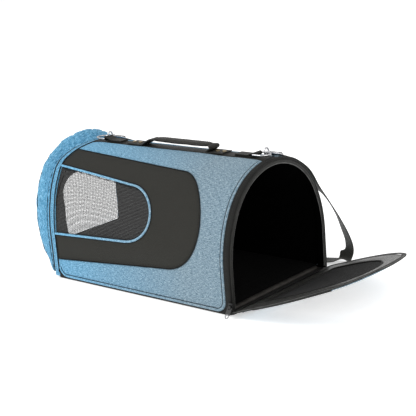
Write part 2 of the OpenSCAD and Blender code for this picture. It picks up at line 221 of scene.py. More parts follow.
# ---------- procedural materials ----------
class Shader:
    """A material built from named nodes; `add` links sockets and sets constants."""

    def __init__(self, name):
        self.material = bpy.data.materials.new(name)
        self.material.use_nodes = True
        self.tree = self.material.node_tree
        self.tree.nodes.clear()
        self.surface = self.tree.nodes.new("ShaderNodeBsdfPrincipled")
        self.output = self.tree.nodes.new("ShaderNodeOutputMaterial")
        self.tree.links.new(self.surface.outputs[0], self.output.inputs[0])

    def add(self, kind, settings=None, inputs=None, out=0):
        node = self.tree.nodes.new("ShaderNode" + kind)
        for key, value in (settings or {}).items():
            setattr(node, key, value)
        self.feed(node, inputs or {})
        return node.outputs[out]

    def feed(self, node, inputs):
        for key, value in inputs.items():
            if isinstance(value, bpy.types.NodeSocket):
                self.tree.links.new(value, node.inputs[key])
            else:
                node.inputs[key].default_value = value

    def math(self, operation, a, b=0.0, c=0.0):
        return self.add("Math", {"operation": operation}, {0: a, 1: b, 2: c})

    def weave_uv(self, scale_u, scale_v):
        uv = self.add("UVMap", {"uv_map": "Weave"})
        return self.add("Mapping", inputs={"Vector": uv, "Scale": (scale_u, scale_v, 1)})

    def noise(self, vector, scale=1.0, detail=2.0, roughness=0.5):
        return self.add("TexNoise", inputs={"Vector": vector, "Scale": scale, "Detail": detail,
                                            "Roughness": roughness})

    def ramp(self, value, stops):
        node = self.tree.nodes.new("ShaderNodeValToRGB")
        self.tree.links.new(value, node.inputs[0])
        ramp = node.color_ramp
        while len(ramp.elements) < len(stops):
            ramp.elements.new(1.0)
        for element, (place, colour) in zip(ramp.elements, stops):
            element.position = place
            element.color = (*colour, 1)
        return node.outputs[0]

    def mix(self, factor, a, b, blend="MIX"):
        node = self.tree.nodes.new("ShaderNodeMix")
        node.data_type = "RGBA"
        node.blend_type = blend
        self.feed(node, {0: factor, 6: self.colour(a), 7: self.colour(b)})
        return node.outputs[2]

    def colour(self, value):
        return (*value, 1) if isinstance(value, tuple) and len(value) == 3 else value

    def bump(self, height, distance, strength=1.0):
        normal = self.add("Bump", inputs={"Height": height, "Distance": distance, "Strength": strength})
        self.tree.links.new(normal, self.surface.inputs["Normal"])

    def finish(self, **inputs):
        named = {key.replace("_", " "): self.colour(value) for key, value in inputs.items()}
        self.feed(self.surface, named)
        return self.material

    def plain_weave(self, pitch):
        """Height of a one-over-one weave with that thread pitch."""
        u, v = self.weave_axes(pitch)
        over = self.math("MULTIPLY", self.math("SINE", u), self.math("SINE", v))
        return self.math("MULTIPLY_ADD", over, 0.5, 0.5)

    def weave_axes(self, pitch):
        turn = 2 * math.pi / pitch
        split = self.add("SeparateXYZ", inputs={0: self.weave_uv(turn, turn)}).node
        return split.outputs[0], split.outputs[1]


def melange_cloth(name, tint=1.0):
    """Blue polyester with light and dark flecks along both thread directions, and painted light: brighter and
    more saturated towards the left end, greyer towards the right.
    """
    s = Shader(name)
    flecks_u = s.noise(s.weave_uv(260, 1500), 1, 3, 0.65)
    flecks_v = s.noise(s.weave_uv(1500, 300), 1, 3, 0.65)
    slubs = s.noise(s.weave_uv(140, 620), 1, 2, 0.6)
    flecks = s.math("ADD", s.math("MULTIPLY", flecks_u, 0.4), s.math("MULTIPLY", flecks_v, 0.35))
    flecks = s.math("MULTIPLY_ADD", slubs, 0.25, flecks)
    # painted light: along x the blue goes from a brighter, more saturated tone at the left end to a greyer
    # one at the right, standing in for how the light falls on the carrier
    place = s.add("TexCoord", out=3)
    x = s.add("SeparateXYZ", inputs={0: place})
    right = s.add("MapRange", inputs={0: x, 1: -0.24, 2: 0.12, 3: 0.0, 4: 1.0})
    left_dark, left_mid, left_light = (0.020, 0.10, 0.20), (0.10, 0.34, 0.55), (0.36, 0.68, 0.90)
    right_dark, right_mid, right_light = (0.040, 0.085, 0.12), (0.16, 0.25, 0.315), (0.46, 0.56, 0.62)
    painted_lit_left_blue = s.ramp(flecks, [(0.40, left_dark), (0.5, left_mid), (0.60, left_light)])
    painted_shaded_right_blue = s.ramp(flecks, [(0.40, right_dark), (0.5, right_mid), (0.60, right_light)])
    base = s.mix(right, painted_lit_left_blue, painted_shaded_right_blue)
    drift = s.noise(s.weave_uv(9, 9), 1, 2)
    shade = s.math("MULTIPLY_ADD", drift, 0.16, 0.92 * tint)
    base = s.mix(1.0, base, s.add("CombineColor", inputs={0: shade, 1: shade, 2: shade}), "MULTIPLY")
    s.bump(s.math("ADD", s.plain_weave(0.0011), s.math("MULTIPLY", flecks_u, 0.8)), 0.0004, 0.5)
    return s.finish(Base_Color=base, Roughness=0.85, Specular_IOR_Level=0.25, Sheen_Weight=0.1,
                    Sheen_Roughness=0.5)


def oxford_cloth():
    """Coarse dark weave with a faint lighter fleck on each crossing."""
    s = Shader("dark_oxford")
    weave = s.plain_weave(0.0019)
    fleck = s.noise(s.weave_uv(700, 500), 1, 2)
    value = s.math("MULTIPLY_ADD", fleck, 0.5, s.math("MULTIPLY", weave, 0.5))
    base = s.ramp(value, [(0.25, (0.009, 0.0088, 0.007)), (0.55, (0.022, 0.0215, 0.018)),
                          (0.85, (0.056, 0.055, 0.047))])
    s.bump(weave, 0.0005, 0.6)
    return s.finish(Base_Color=base, Roughness=0.7, Specular_IOR_Level=0.2)


def dark_cloth(name, low, high, pitch, roughness=0.8, shine=0.2):
    """Fine plain weave between two shades."""
    s = Shader(name)
    weave = s.plain_weave(pitch)
    cloud = s.noise(s.weave_uv(60, 60), 1, 3)
    base = s.ramp(s.math("MULTIPLY_ADD", cloud, 0.6, s.math("MULTIPLY", weave, 0.4)),
                  [(0.2, low), (0.85, high)])
    s.bump(weave, 0.0004, 0.5)
    return s.finish(Base_Color=base, Roughness=roughness, Specular_IOR_Level=shine)


def ribbed_webbing(name, low, high, pitch=0.0022, gloss=0.45):
    """Strap weave: ribs across the strap, split by its long warp threads."""
    s = Shader(name)
    along, across = s.weave_axes(pitch)
    rib = s.math("SINE", s.math("ADD", along, s.math("MULTIPLY", s.math("SINE", across), 1.2)))
    height = s.math("MULTIPLY_ADD", rib, 0.5, 0.5)
    cloud = s.noise(s.weave_uv(80, 80), 1, 2)
    base = s.ramp(s.math("MULTIPLY_ADD", cloud, 0.4, s.math("MULTIPLY", height, 0.6)),
                  [(0.2, low), (0.8, high)])
    s.bump(height, 0.0006, 0.8)
    return s.finish(Base_Color=base, Roughness=gloss, Specular_IOR_Level=0.25)


def netting(name, pitch, share, low, high):
    """Open net: the square holes between the yarns are clear."""
    s = Shader(name)
    split = s.add("SeparateXYZ", inputs={0: s.weave_uv(1 / pitch, 1 / pitch)}).node
    u = s.math("FRACT", split.outputs[0])
    v = s.math("FRACT", split.outputs[1])
    yarn = s.math("MAXIMUM", s.math("LESS_THAN", u, share), s.math("LESS_THAN", v, share))
    tone = s.noise(s.weave_uv(500, 500), 1, 2)
    s.finish(Base_Color=s.ramp(tone, [(0.3, low), (0.7, high)]), Roughness=0.6, Specular_IOR_Level=0.15)
    clear = s.tree.nodes.new("ShaderNodeBsdfTransparent")
    blend = s.tree.nodes.new("ShaderNodeMixShader")
    s.tree.links.new(yarn, blend.inputs[0])
    s.tree.links.new(clear.outputs[0], blend.inputs[1])
    s.tree.links.new(s.surface.outputs[0], blend.inputs[2])
    s.tree.links.new(blend.outputs[0], s.output.inputs[0])
    return s.material


def fleece():
    s = Shader("mat_fleece")
    tufts = s.noise(s.weave_uv(420, 420), 1, 4, 0.7)
    # painted shade: the fleece is near pure black, standing for the deep shade on the cabin's floor
    base = s.ramp(tufts, [(0.3, (0.001, 0.001, 0.001)), (0.75, (0.005, 0.005, 0.005))])
    s.bump(tufts, 0.0016, 0.9)
    return s.finish(Base_Color=base, Roughness=0.95, Specular_IOR_Level=0.05)


def metal(name, colour, rough, scratches=900):
    """Plated metal with fine polishing marks; uses object coordinates, so that CAD pieces can take it."""
    s = Shader(name)
    place = s.add("TexCoord", out=3)
    stretched = s.add("Mapping", inputs={"Vector": place, "Scale": (1, 0.25, 1)})
    marks = s.noise(stretched, scratches, 3)
    roughness = s.math("MULTIPLY_ADD", marks, 0.16, rough)
    s.bump(marks, 0.00004, 0.4)
    cloud = s.noise(place, 120, 2)
    base = s.ramp(cloud, [(0.3, tuple(0.88 * c for c in colour)), (0.7, colour)])
    return s.finish(Base_Color=base, Metallic=1.0, Roughness=roughness)


def hard_plastic(name, low, high, rough):
    """Moulded or lacquered surface with a slight grain."""
    s = Shader(name)
    place = s.add("TexCoord", out=3)
    grain = s.noise(place, 1400, 3)
    cloud = s.noise(place, 60, 2)
    s.bump(grain, 0.00006, 0.5)
    return s.finish(Base_Color=s.ramp(cloud, [(0.3, low), (0.7, high)]),
                    Roughness=s.math("MULTIPLY_ADD", grain, 0.15, rough))


def grey(value):
    return (value, value, value)


def make_materials():
    return {
        "melange": melange_cloth("blue_melange"),
        "welt": melange_cloth("welt_melange", 1.08),
        "oxford": oxford_cloth(),
        # painted shade: the lining is near pure black so that the cabin's inside, the rim facings and the
        # door roll's inner skin stand for the deep shade within
        "lining": dark_cloth("black_lining", grey(0.0005), grey(0.002), 0.0012, 0.95, 0.03),
        "binding": dark_cloth("black_binding", grey(0.003), (0.014, 0.014, 0.012), 0.0009, 0.6),
        "base": dark_cloth("base_cloth", grey(0.004), (0.016, 0.016, 0.014), 0.0016, 0.7),
        "satin": dark_cloth("grey_satin", (0.016, 0.016, 0.015), (0.052, 0.052, 0.048), 0.0008, 0.33, 0.6),
        "tape": dark_cloth("zip_tape", (0.008, 0.008, 0.007), (0.035, 0.035, 0.032), 0.0009, 0.6, 0.3),
        "thread": dark_cloth("dark_thread", (0.003, 0.005, 0.007), (0.015, 0.02, 0.025), 0.0007, 0.7),
        "piping": melange_cloth("piping_cloth", 1.25),
        "webbing": ribbed_webbing("black_webbing", grey(0.003), (0.026, 0.025, 0.020)),
        "grip": dark_cloth("grip_cloth", (0.006, 0.005, 0.004), (0.034, 0.030, 0.022), 0.0012, 0.5, 0.3),
        "strap": ribbed_webbing("strap_webbing", (0.006, 0.006, 0.005), (0.045, 0.045, 0.036)),
        "net": netting("window_net", 0.0026, 0.26, grey(0.05), grey(0.12)),
        "door_net": netting("door_net", 0.0027, 0.25, grey(0.05), grey(0.12)),
        "yarn": dark_cloth("net_yarn", grey(0.012), grey(0.05), 0.0012, 0.6),
        "coil": hard_plastic("nylon_coil", (0.05, 0.05, 0.048), (0.14, 0.14, 0.135), 0.35),
        "mat": fleece(),
        "board": hard_plastic("stiff_board", (0.02, 0.018, 0.015), (0.05, 0.045, 0.04), 0.6),
        "chrome": metal("chrome", (0.66, 0.66, 0.68), 0.10),
        "dull_chrome": metal("dull_chrome", (0.30, 0.30, 0.31), 0.16),
        "brass": metal("dull_brass", (0.55, 0.44, 0.27), 0.3),
        "lacquer": hard_plastic("black_lacquer", grey(0.0015), grey(0.005), 0.42),
        "buckle": hard_plastic("moulded_buckle", grey(0.006), grey(0.016), 0.4),
    }


# ---------- mesh helpers ----------
def new_piece(name, verts, faces, uv, material, body="carrier", slot=None, replaces=(), ride=True):
    """A smooth mesh with its loops' UVs in metres, in a material named by its key in MATS.

    It rides on a CAD body and may replace CAD nodes. Its slot argument is not used.
    """
    mesh = bpy.data.meshes.new(name)
    mesh.from_pydata(np.asarray(verts, float).reshape(-1, 3).tolist(), [], [list(f) for f in faces])
    layer = mesh.uv_layers.new(name="Weave")
    layer.data.foreach_set("uv", np.asarray(uv, float).ravel())
    mesh.polygons.foreach_set("use_smooth", [True] * len(mesh.polygons))
    mesh.materials.append(MATS[material])
    piece = bpy.data.objects.new(name, mesh)
    bpy.context.scene.collection.objects.link(piece)
    slot or material
    if ride:
        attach(piece, body)
    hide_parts(*replaces)
    return piece


def steps_along(points):
    """Distance along a row of points, starting at 0."""
    return np.concatenate([[0], np.cumsum(np.linalg.norm(np.diff(points, axis=0), axis=1))])


def grid_faces(points, wrap_u=False, wrap_v=False):
    """Quads and loop UVs in metres for an (n, m, 3) grid of points."""
    n, m = points.shape[:2]
    i, j = np.meshgrid(np.arange(n if wrap_u else n - 1), np.arange(m if wrap_v else m - 1), indexing="ij")
    i, j = i.ravel(), j.ravel()
    row = np.concatenate([points[:, m // 2], points[:1, m // 2]])
    column = np.concatenate([points[n // 2], points[n // 2, :1]])
    along, across = steps_along(row), steps_along(column)
    corners = [(i, j), (i + 1, j), (i + 1, j + 1), (i, j + 1)]
    faces = np.stack([(a % n) * m + (b % m) for a, b in corners], -1)
    uv = np.stack([np.stack([along[a], across[b]], -1) for a, b in corners], 1)
    return faces, uv.reshape(-1, 2)


def grid_piece(name, points, material, wrap=(False, False), **options):
    points = np.asarray(points, float)
    faces, uv = grid_faces(points, *wrap)
    return new_piece(name, points, faces, uv, material, **options)


def frames_along(path, hint):
    """Tangent, side and normal at each point of a path; side stays as near to hint as it can."""
    path = np.asarray(path, float)
    tangent = np.gradient(path, axis=0)
    tangent /= np.linalg.norm(tangent, axis=1, keepdims=True)
    hint = np.broadcast_to(np.asarray(hint, float), path.shape)
    side = hint - tangent * np.sum(hint * tangent, axis=1, keepdims=True)
    side /= np.linalg.norm(side, axis=1, keepdims=True)
    return tangent, side, np.cross(tangent, side)


def sweep(name, path, hint, section, material, closed=False, capped=True, widths=1.0, **options):
    """Sweeps a closed section of (side, normal) offsets along a path, narrowed by widths where given."""
    path = np.asarray(path, float)
    section = np.asarray(section, float)
    _, side, normal = frames_along(path, hint)
    side = side * np.broadcast_to(widths, len(path))[:, None]
    points = (path[:, None] + side[:, None] * section[None, :, :1] + normal[:, None] * section[None, :, 1:])
    faces, uv = grid_faces(points, closed, True)
    if capped and not closed:
        n, m = points.shape[:2]
        points = points.reshape(-1, 3)
        ends = [list(range(m))[::-1], list(range((n - 1) * m, n * m))]
        faces = [list(f) for f in faces] + ends
        uv = np.concatenate([uv, np.zeros((2 * m, 2))])
    return new_piece(name, points, faces, uv, material, **options)


def round_section(radius, sides=10):
    turn = np.arange(sides) * 2 * math.pi / sides
    return np.stack([np.cos(turn), np.sin(turn)], -1) * radius


def flat_section(width, thick, sides=6):
    """A strap's section: flat faces and rounded edges."""
    turn = np.linspace(-math.pi / 2, math.pi / 2, sides)
    edge = np.stack([np.cos(turn), np.sin(turn)], -1) * thick / 2
    edge[:, 0] += (width - thick) / 2
    crown = np.linspace((width - thick) / 2, -(width - thick) / 2, 7)[1:-1]
    top = np.stack([crown, np.full(5, thick / 2)], -1)
    return np.concatenate([edge, top, -edge, -top])


def smooth_path(points, steps=6, closed=False):
    """Catmull-Rom curve through given points."""
    points = np.asarray(points, float)
    last = len(points) if closed else len(points) - 1
    made = []
    for i in range(last):
        pick = [(i + k) % len(points) if closed else min(max(i + k, 0), last) for k in (-1, 0, 1, 2)]
        p0, p1, p2, p3 = points[pick]
        f = np.arange(steps)[:, None] / steps
        made.append(0.5 * (2 * p1 + f * (p2 - p0) + f ** 2 * (2 * p0 - 5 * p1 + 4 * p2 - p3)
                           + f ** 3 * (3 * p1 - p0 - 3 * p2 + p3)))
    if not closed:
        made.append(points[-1:])
    return np.concatenate(made)


def repeat_unit(name, unit, faces, places, axes, material, **options):
    """Many copies of one small closed solid in one mesh, such as stitches or zip teeth."""
    unit = np.asarray(unit, float)
    points = places[:, None] + np.einsum("kc,ncd->nkd", unit, axes)
    all_faces = (np.arange(len(places))[:, None, None] * len(unit) + np.asarray(faces)[None]).reshape(-1, 4)
    uv = np.tile([[0, 0], [0.001, 0], [0.001, 0.001], [0, 0.001]], (len(all_faces), 1))
    return new_piece(name, points.reshape(-1, 3), all_faces, uv, material, **options)


def pill(length, radius, sides=6):
    """A short thread or tooth with rounded ends, along its own x."""
    stations = [(-0.5, 0.35), (-0.4, 0.85), (-0.15, 1.0), (0.15, 1.0), (0.4, 0.85), (0.5, 0.35)]
    turn = np.arange(sides) * 2 * math.pi / sides
    rings = [[(a * length, b * radius * math.cos(t), b * radius * math.sin(t)) for t in turn]
             for a, b in stations]
    n = len(stations)
    faces = []
    for i in range(n - 1):
        for j in range(sides):
            k = (j + 1) % sides
            faces.append((i * sides + j, (i + 1) * sides + j, (i + 1) * sides + k, i * sides + k))
    for base in (0, (n - 1) * sides):
        ring = [base + k for k in range(sides)]
        caps = [(ring[0], ring[1], ring[2], ring[3]), (ring[3], ring[4], ring[5], ring[0])]
        faces += caps if base else [c[::-1] for c in caps]
    return np.array(rings).reshape(-1, 3), faces


def placed_along(path, pitch, hint):
    """Evenly spaced points on a path with their (tangent, side, normal) axes."""
    path = np.asarray(path, float)
    distance = steps_along(path)
    marks = np.arange(pitch / 2, distance[-1], pitch)
    places = np.stack([np.interp(marks, distance, path[:, k]) for k in range(3)], -1)
    axes = []
    for group in frames_along(path, hint):
        axes.append(np.stack([np.interp(marks, distance, group[:, k]) for k in range(3)], -1))
    return places, np.stack(axes, 1)


STITCH = 0.0030
STITCH_GAP = 0.0014
STITCH_R = 0.00032


def stitches(name, path, hint, body="carrier", colour="thread", slot="oxford"):
    """A row of stitches along a path, standing up along the hint."""
    places, axes = placed_along(path, STITCH + STITCH_GAP, hint)
    unit, faces = pill(STITCH, STITCH_R)
    return repeat_unit(name, unit, faces, places, axes, colour, body=body, slot=slot)


def teeth(name, path, hint, body, width=0.0052, pitch=0.0016):
    """A nylon coil: one rounded tooth across the chain at each pitch."""
    places, axes = placed_along(path, pitch, hint)
    unit, faces = pill(width, 0.00075)
    turned = axes[:, [1, 0, 2]]
    return repeat_unit(name, unit, faces, places, turned, "coil", body=body, slot="zip_coil")


# ---------- side outlines in (x, s), the front half having negative s ----------
def spaced(points, pitch):
    """Points about `pitch` apart along a polyline."""
    points = np.asarray(points, float)
    distance = steps_along(points)
    marks = np.linspace(0, distance[-1], max(2, int(distance[-1] / pitch) + 1))
    return np.stack([np.interp(marks, distance, points[:, k]) for k in range(2)], -1)


def end_shape(centre_x, centre_z, radius, left_low, left_high, grow=0.0, reach=None):
    """Outline open to the left with a round right end, as (x, z) from its low left end to its high one."""
    turn = np.linspace(-math.pi / 2, math.pi / 2, 60)
    across, up = (reach or radius) + grow, radius + grow
    arc = np.stack([centre_x + across * np.cos(turn), centre_z + up * np.sin(turn)], -1)
    x = -HALF_L - 0.020
    start = [[x, left_low - grow]]
    end = [[x, left_high + grow]]
    return spaced(np.concatenate([start, arc, end]), 0.0035)


def panel_line(grow=0.0):
    return end_shape(PANEL_X, PANEL_Z, PANEL_R, PANEL_Z - PANEL_DOWN, PANEL_Z + PANEL_UP, grow)


def window_line(grow=0.0):
    low, high = WINDOW_Z - WINDOW_DOWN, WINDOW_Z + WINDOW_UP
    return end_shape(WINDOW_X, WINDOW_Z, WINDOW_R, low, high, grow, WINDOW_REACH)


def to_xs(line, side):
    """(x, z) to (x, s), with side -1 for the front and +1 for the back."""
    return np.stack([line[:, 0], side * s_of_z(line[:, 1])], -1)


def side_outline(inset=0.0):
    """The side fabric's whole outline in (x, s): over the ridge, with rounded lower corners."""
    r = CORNER_R - inset
    cx, cs = RIM_X - CORNER_R, S_FOOT - CORNER_R
    points = []
    for sx, ss, start in ((1, 1, 0), (-1, 1, 90), (-1, -1, 180), (1, -1, 270)):
        turn = np.radians(np.linspace(start, start + 90, 14))
        points.append(np.stack([sx * cx + r * np.cos(turn), ss * cs + r * np.sin(turn)], -1))
    return spaced(np.concatenate(points + [points[0][:1]]), 0.0035)[:-1]


def inside(points, polygon):
    """Which points lie inside a closed polygon."""
    result = np.zeros(len(points), bool)
    x, y = points[:, 0], points[:, 1]
    for (x0, y0), (x1, y1) in zip(polygon, np.roll(polygon, -1, axis=0)):
        if y0 != y1:
            crosses = (y0 > y) != (y1 > y)
            result ^= crosses & (x < (x1 - x0) * (y - y0) / (y1 - y0) + x0)
    return result


def distance_to(points, lines):
    """Shortest distance from each point to the points of some outlines."""
    targets = np.concatenate(lines)
    best = np.full(len(points), 1.0)
    for start in range(0, len(targets), 64):
        block = targets[start:start + 64]
        gap = np.linalg.norm(points[:, None] - block[None], axis=2).min(axis=1)
        best = np.minimum(best, gap)
    return best


def triangulate(lines, closed, spacing):
    """Delaunay mesh of the side's rectangle with the outlines as edges; returns points and triangles."""
    fixed, edges = [], []
    for line, shut in zip(lines, closed):
        base = sum(len(f) for f in fixed)
        fixed.append(line)
        count = len(line)
        edges += [(base + k, base + (k + 1) % count) for k in range(count if shut else count - 1)]
    xs = np.arange(-RIM_X, RIM_X + 1e-6, spacing)
    ss = np.arange(-S_FOOT, S_FOOT + 1e-6, spacing)
    fill = np.stack(np.meshgrid(xs, ss, indexing="ij"), -1).reshape(-1, 2)
    fill[:, 0] += np.where(np.round(fill[:, 1] / spacing) % 2 > 0, spacing / 2, 0)
    fill = fill[distance_to(fill, lines) > 0.6 * spacing]
    fill = fill[(np.abs(fill[:, 0]) <= RIM_X)]
    points = np.concatenate(fixed + [fill])
    made = delaunay_2d_cdt([Vector(p) for p in points], edges, [], 0, 1e-7, True)
    flat = np.array([tuple(v) for v in made[0]])
    return flat, np.array([f for f in made[2] if len(f) == 3])


def puff(flat, lines, rise, seed, ripple=0.0008):
    """How far padded cloth stands off its wall between seams, with slow random waves."""
    gap = distance_to(flat, lines)
    lift = rise * (1 - np.exp(-gap / 0.012))
    waves = np.array([noise.noise(Vector((p[0] * 11 + seed, p[1] * 17, seed))) for p in flat])
    fine = np.array([noise.noise(Vector((p[0] * 34, p[1] * 52 + seed, seed + 9))) for p in flat])
    return lift + np.minimum(gap / 0.02, 1) * ripple * (waves + 0.35 * fine)


def cloth_region(name, flat, triangles, keep, out, material, **options):
    """Part of the side's triangulation as its own sheet on the arch."""
    middle = flat[triangles].mean(axis=1)
    chosen = triangles[keep(middle)]
    used, local = np.unique(chosen, return_inverse=True)
    local = local.reshape(-1, 3)
    ground = flat[used]
    verts = on_arch(ground[:, 0], ground[:, 1], out[used])
    normal = np.cross(verts[local[0][1]] - verts[local[0][0]], verts[local[0][2]] - verts[local[0][0]])
    outward = on_arch(ground[local[0][0], 0], ground[local[0][0], 1], 1.0) - verts[local[0][0]]
    if normal @ outward < 0:
        local = local[:, ::-1]
    return new_piece(name, verts, local, ground[local.ravel()], material, **options)


def thicken(piece, depth):
    """Gives a sheet its thickness inwards."""
    modifier = piece.modifiers.new("thickness", "SOLIDIFY")
    modifier.thickness = depth
    modifier.offset = -1
    bake_modifiers(piece)


def bake_modifiers(piece):
    """Replaces the piece's mesh with its modified mesh."""
    bpy.context.view_layer.update()
    graph = bpy.context.evaluated_depsgraph_get()
    changed = piece.evaluated_get(graph)
    mesh = bpy.data.meshes.new_from_object(changed, preserve_all_data_layers=True, depsgraph=graph)
    piece.modifiers.clear()
    piece.data = mesh


# ---------- cabin ----------
def make_sides():
    """Blue cloth over the arch, and the dark panel let into each side."""
    outer = side_outline()
    panels = [to_xs(panel_line(), side) for side in (-1, 1)]
    windows = [to_xs(window_line(), side) for side in (-1, 1)]
    lines = [outer] + panels + windows
    flat, triangles = triangulate(lines, [True] + [False] * 4, CLOTH_PITCH)
    out = puff(flat, lines, 0.0016, 3.0)

    def blue(middle):
        keep = inside(middle, outer)
        for panel in panels:
            keep &= ~inside(middle, panel)
        return keep

    shell = cloth_region("cabin_cloth", flat, triangles, blue, out, "melange",
                         replaces=["arch_shell"])
    thicken(shell, CLOTH_T)

    def inside_cloth(middle):
        keep = inside(middle, outer)
        for window in windows:
            keep &= ~inside(middle, window)
        return keep

    # painted shade: the cabin's lining takes the near-black lining colour for the shade inside
    lining = cloth_region("cabin_lining", flat, triangles, inside_cloth, 0 * out - LINING_DEPTH, "lining",
                          replaces=["lining"])
    thicken(lining, 0.0006)
    for side, name in ((-1, "front"), (1, "back")):
        k = 0 if side < 0 else 1

        def dark(middle):
            return inside(middle, outer) & inside(middle, panels[k]) & ~inside(middle, windows[k])

        panel = cloth_region("dark_panel_" + name, flat, triangles, dark, out + 0.0002, "oxford",
                             replaces=["side_panel_" + name])
        thicken(panel, CLOTH_T)
        make_window(name, side, outer, windows[k])
        shown = panels[k][np.abs(panels[k][:, 0]) < RIM_X]
        edge_line, hint = raised(shown, 0.0008)
        inner = to_xs(panel_line(-0.0045), side)
        inner = inner[np.abs(inner[:, 0]) < RIM_X]
        stitches("panel_stitches_" + name, *raised(inner, 0.0011), colour="tape")
        sweep("panel_seam_" + name, edge_line, hint, round_section(0.0006, 6), "thread", slot="oxford")


def make_window(name, side, outer, line):
    """Net let into the dark panel, and the light blue piping round it."""
    flat, triangles = triangulate([outer, line], [True, False], 0.006)
    sag = puff(flat, [line], -0.0016, 21.0, 0.0006)
    reach = to_xs(window_line(0.003), side)

    def open_part(middle):
        return inside(middle, outer) & inside(middle, reach)

    net = cloth_region("window_net_" + name, flat, triangles, open_part, sag - 0.0012, "net",
                       slot="mesh", replaces=["window_mesh_" + name])
    shown = line[np.abs(line[:, 0]) < RIM_X + 0.004]
    shown[:, 0] = np.clip(shown[:, 0], -RIM_X + 0.001, RIM_X)
    sweep("window_piping_" + name + "_cord", *raised(shown, 0.0012), round_section(0.0022, 12), "piping",
          replaces=["window_piping_" + name])
    # dark thread strips on both sides of the piping: its stitching, and painted shade along the piping's
    # edges
    for grow, word in ((-0.0029, "in"), (0.0029, "out")):
        rim = to_xs(window_line(grow), side)
        rim = rim[np.abs(rim[:, 0]) < RIM_X]
        sweep(f"window_seam_{name}_{word}", *raised(rim, 0.0009), flat_section(0.0016, 0.0009, 3), "thread",
              slot="oxford")


# the edge band's section: how far in from the cloth's edge, and how far off the arch
BAND_SECTION = [(0.0004, 0.0002), (0.0012, 0.0016), (0.0028, 0.0023), (0.0042, 0.0021), (0.0052, 0.0013),
                (0.0058, 0.0004)]
BAND_SEAM = 0.0062


def make_welts():
    """Puffed edge band round each side's foot and up beside the rims, with its dark seam."""
    for side, name in ((-1, "front"), (1, "back")):
        rows = []
        for inset, out in BAND_SECTION:
            line = side_outline_run(inset, side)
            rows.append(on_arch(line[:, 0], line[:, 1], out))
        grid = np.stack(rows, 1)
        if side > 0:
            grid = grid[:, ::-1]
        grid_piece("edge_band_" + name, grid, "welt", slot="piping", replaces=["bottom_piping_" + name])
        seam = raised(side_outline_run(BAND_SEAM, side), 0.0012)
        sweep("edge_seam_" + name, *seam, round_section(0.0005, 6), "thread", slot="oxford")


def side_outline_run(inset, side):
    """The outline's part from the ridge down the right rim and round the foot to the lower left corner."""
    r = CORNER_R - inset
    cx, cs = RIM_X - CORNER_R, S_FOOT - CORNER_R
    below_ridge = 0.02
    down = np.linspace(below_ridge, cs, 60)
    right = np.stack([np.full(60, RIM_X - inset), down], -1)
    turn = np.linspace(0, math.pi / 2, 16)[1:-1]
    first = np.stack([cx + r * np.cos(turn), cs + r * np.sin(turn)], -1)
    foot_x = np.linspace(cx, -cx, 90)
    foot = np.stack([foot_x, np.full(90, cs + r)], -1)
    turn = np.linspace(math.pi / 2, math.pi, 16)[1:-1]
    second = np.stack([-cx + r * np.cos(turn), cs + r * np.sin(turn)], -1)
    run = np.concatenate([right, first, foot, second])
    run[:, 1] *= side
    return run


def arch_line(foot, count=200):
    """Arc lengths from the front foot over the ridge to the back foot, standing at height `foot`."""
    end = float(s_of_z(foot))
    return np.linspace(-end, end, count)


def arch_band(name, section, foot, material, mirror=False, **options):
    """A band round the arch with a closed (x, out) section."""
    s = arch_line(foot)
    section = np.asarray(section, float)
    sign = -1 if mirror else 1
    grid = np.stack([on_arch(sign * x, s, out) for x, out in section], 1)
    if not mirror:
        grid = grid[:, ::-1]
    return grid_piece(name, grid, material, wrap=(False, True), **options)


# sections of the rim's zip tape and inner facing: (length x, height off the arch)
RIM_TAPE = [(HALF_L - 0.002, -0.0030), (HALF_L + 0.0006, -0.0034), (HALF_L + 0.0012, -0.0050),
            (HALF_L + 0.0016, -0.0085), (HALF_L + 0.0008, -0.0088), (HALF_L + 0.0002, -0.0050),
            (HALF_L - 0.002, -0.0042)]
RIM_FACING = [(RIM_X - 0.006, -0.0052), (HALF_L + 0.0002, -0.0052), (HALF_L + 0.0002, -0.0060),
              (RIM_X - 0.006, -0.0060)]
RIM_FOOT = BASE_T + 0.0005


def squared(value, power):
    """Signed power that turns a circle's cosine or sine into a squarer one's."""
    return math.copysign(abs(value) ** power, value)


def make_rims():
    """Bound rims over the frame wires, each with its zip tape and coil."""
    middle_x, half_x = (RIM_X + HALF_L) / 2, (HALF_L - RIM_X) / 2 + 0.0006
    bulge = [(middle_x + half_x * squared(math.cos(t), 0.6), -0.0014 + 0.0030 * squared(math.sin(t), 0.7))
             for t in np.radians(np.linspace(0, 360, 29)[:-1])]
    for mirror, name in ((False, "right"), (True, "left")):
        sign = -1 if mirror else 1
        cover = "melange" if mirror else "binding"
        arch_band(name + "_rim_binding", bulge, RIM_FOOT, cover, mirror,
                  replaces=[name + "_rim"])
        # painted shade: the rim's inner facing takes the near-black lining colour for the shade inside
        arch_band(name + "_rim_facing", RIM_FACING, RIM_FOOT, "lining", mirror, slot="lining")
        rim_corner(name, sign)
        arch_band(name + "_zip_tape", RIM_TAPE, 0.008, "tape", mirror, slot="zip_coil",
                  replaces=[name + "_zip_coil"])
        teeth_x = HALF_L + (0.0024 if mirror else 0.0006)
        coil = across_arch(sign * teeth_x, arch_line(0.010, 400), -0.0086)
        teeth(name + "_zip_teeth", *coil, "carrier", 0.0034)
        s = arch_line(0.012, 400)
        sewn = across_arch(sign * (HALF_L - 0.0046), s, 0.00155)
        stitches(name + "_rim_stitches", *sewn, colour="thread" if mirror else "tape")
        if mirror:
            cord = across_arch(-RIM_X - 0.0006, s, 0.0010)
            sweep("left_rim_cord", *cord, round_section(0.0011, 8), "binding")


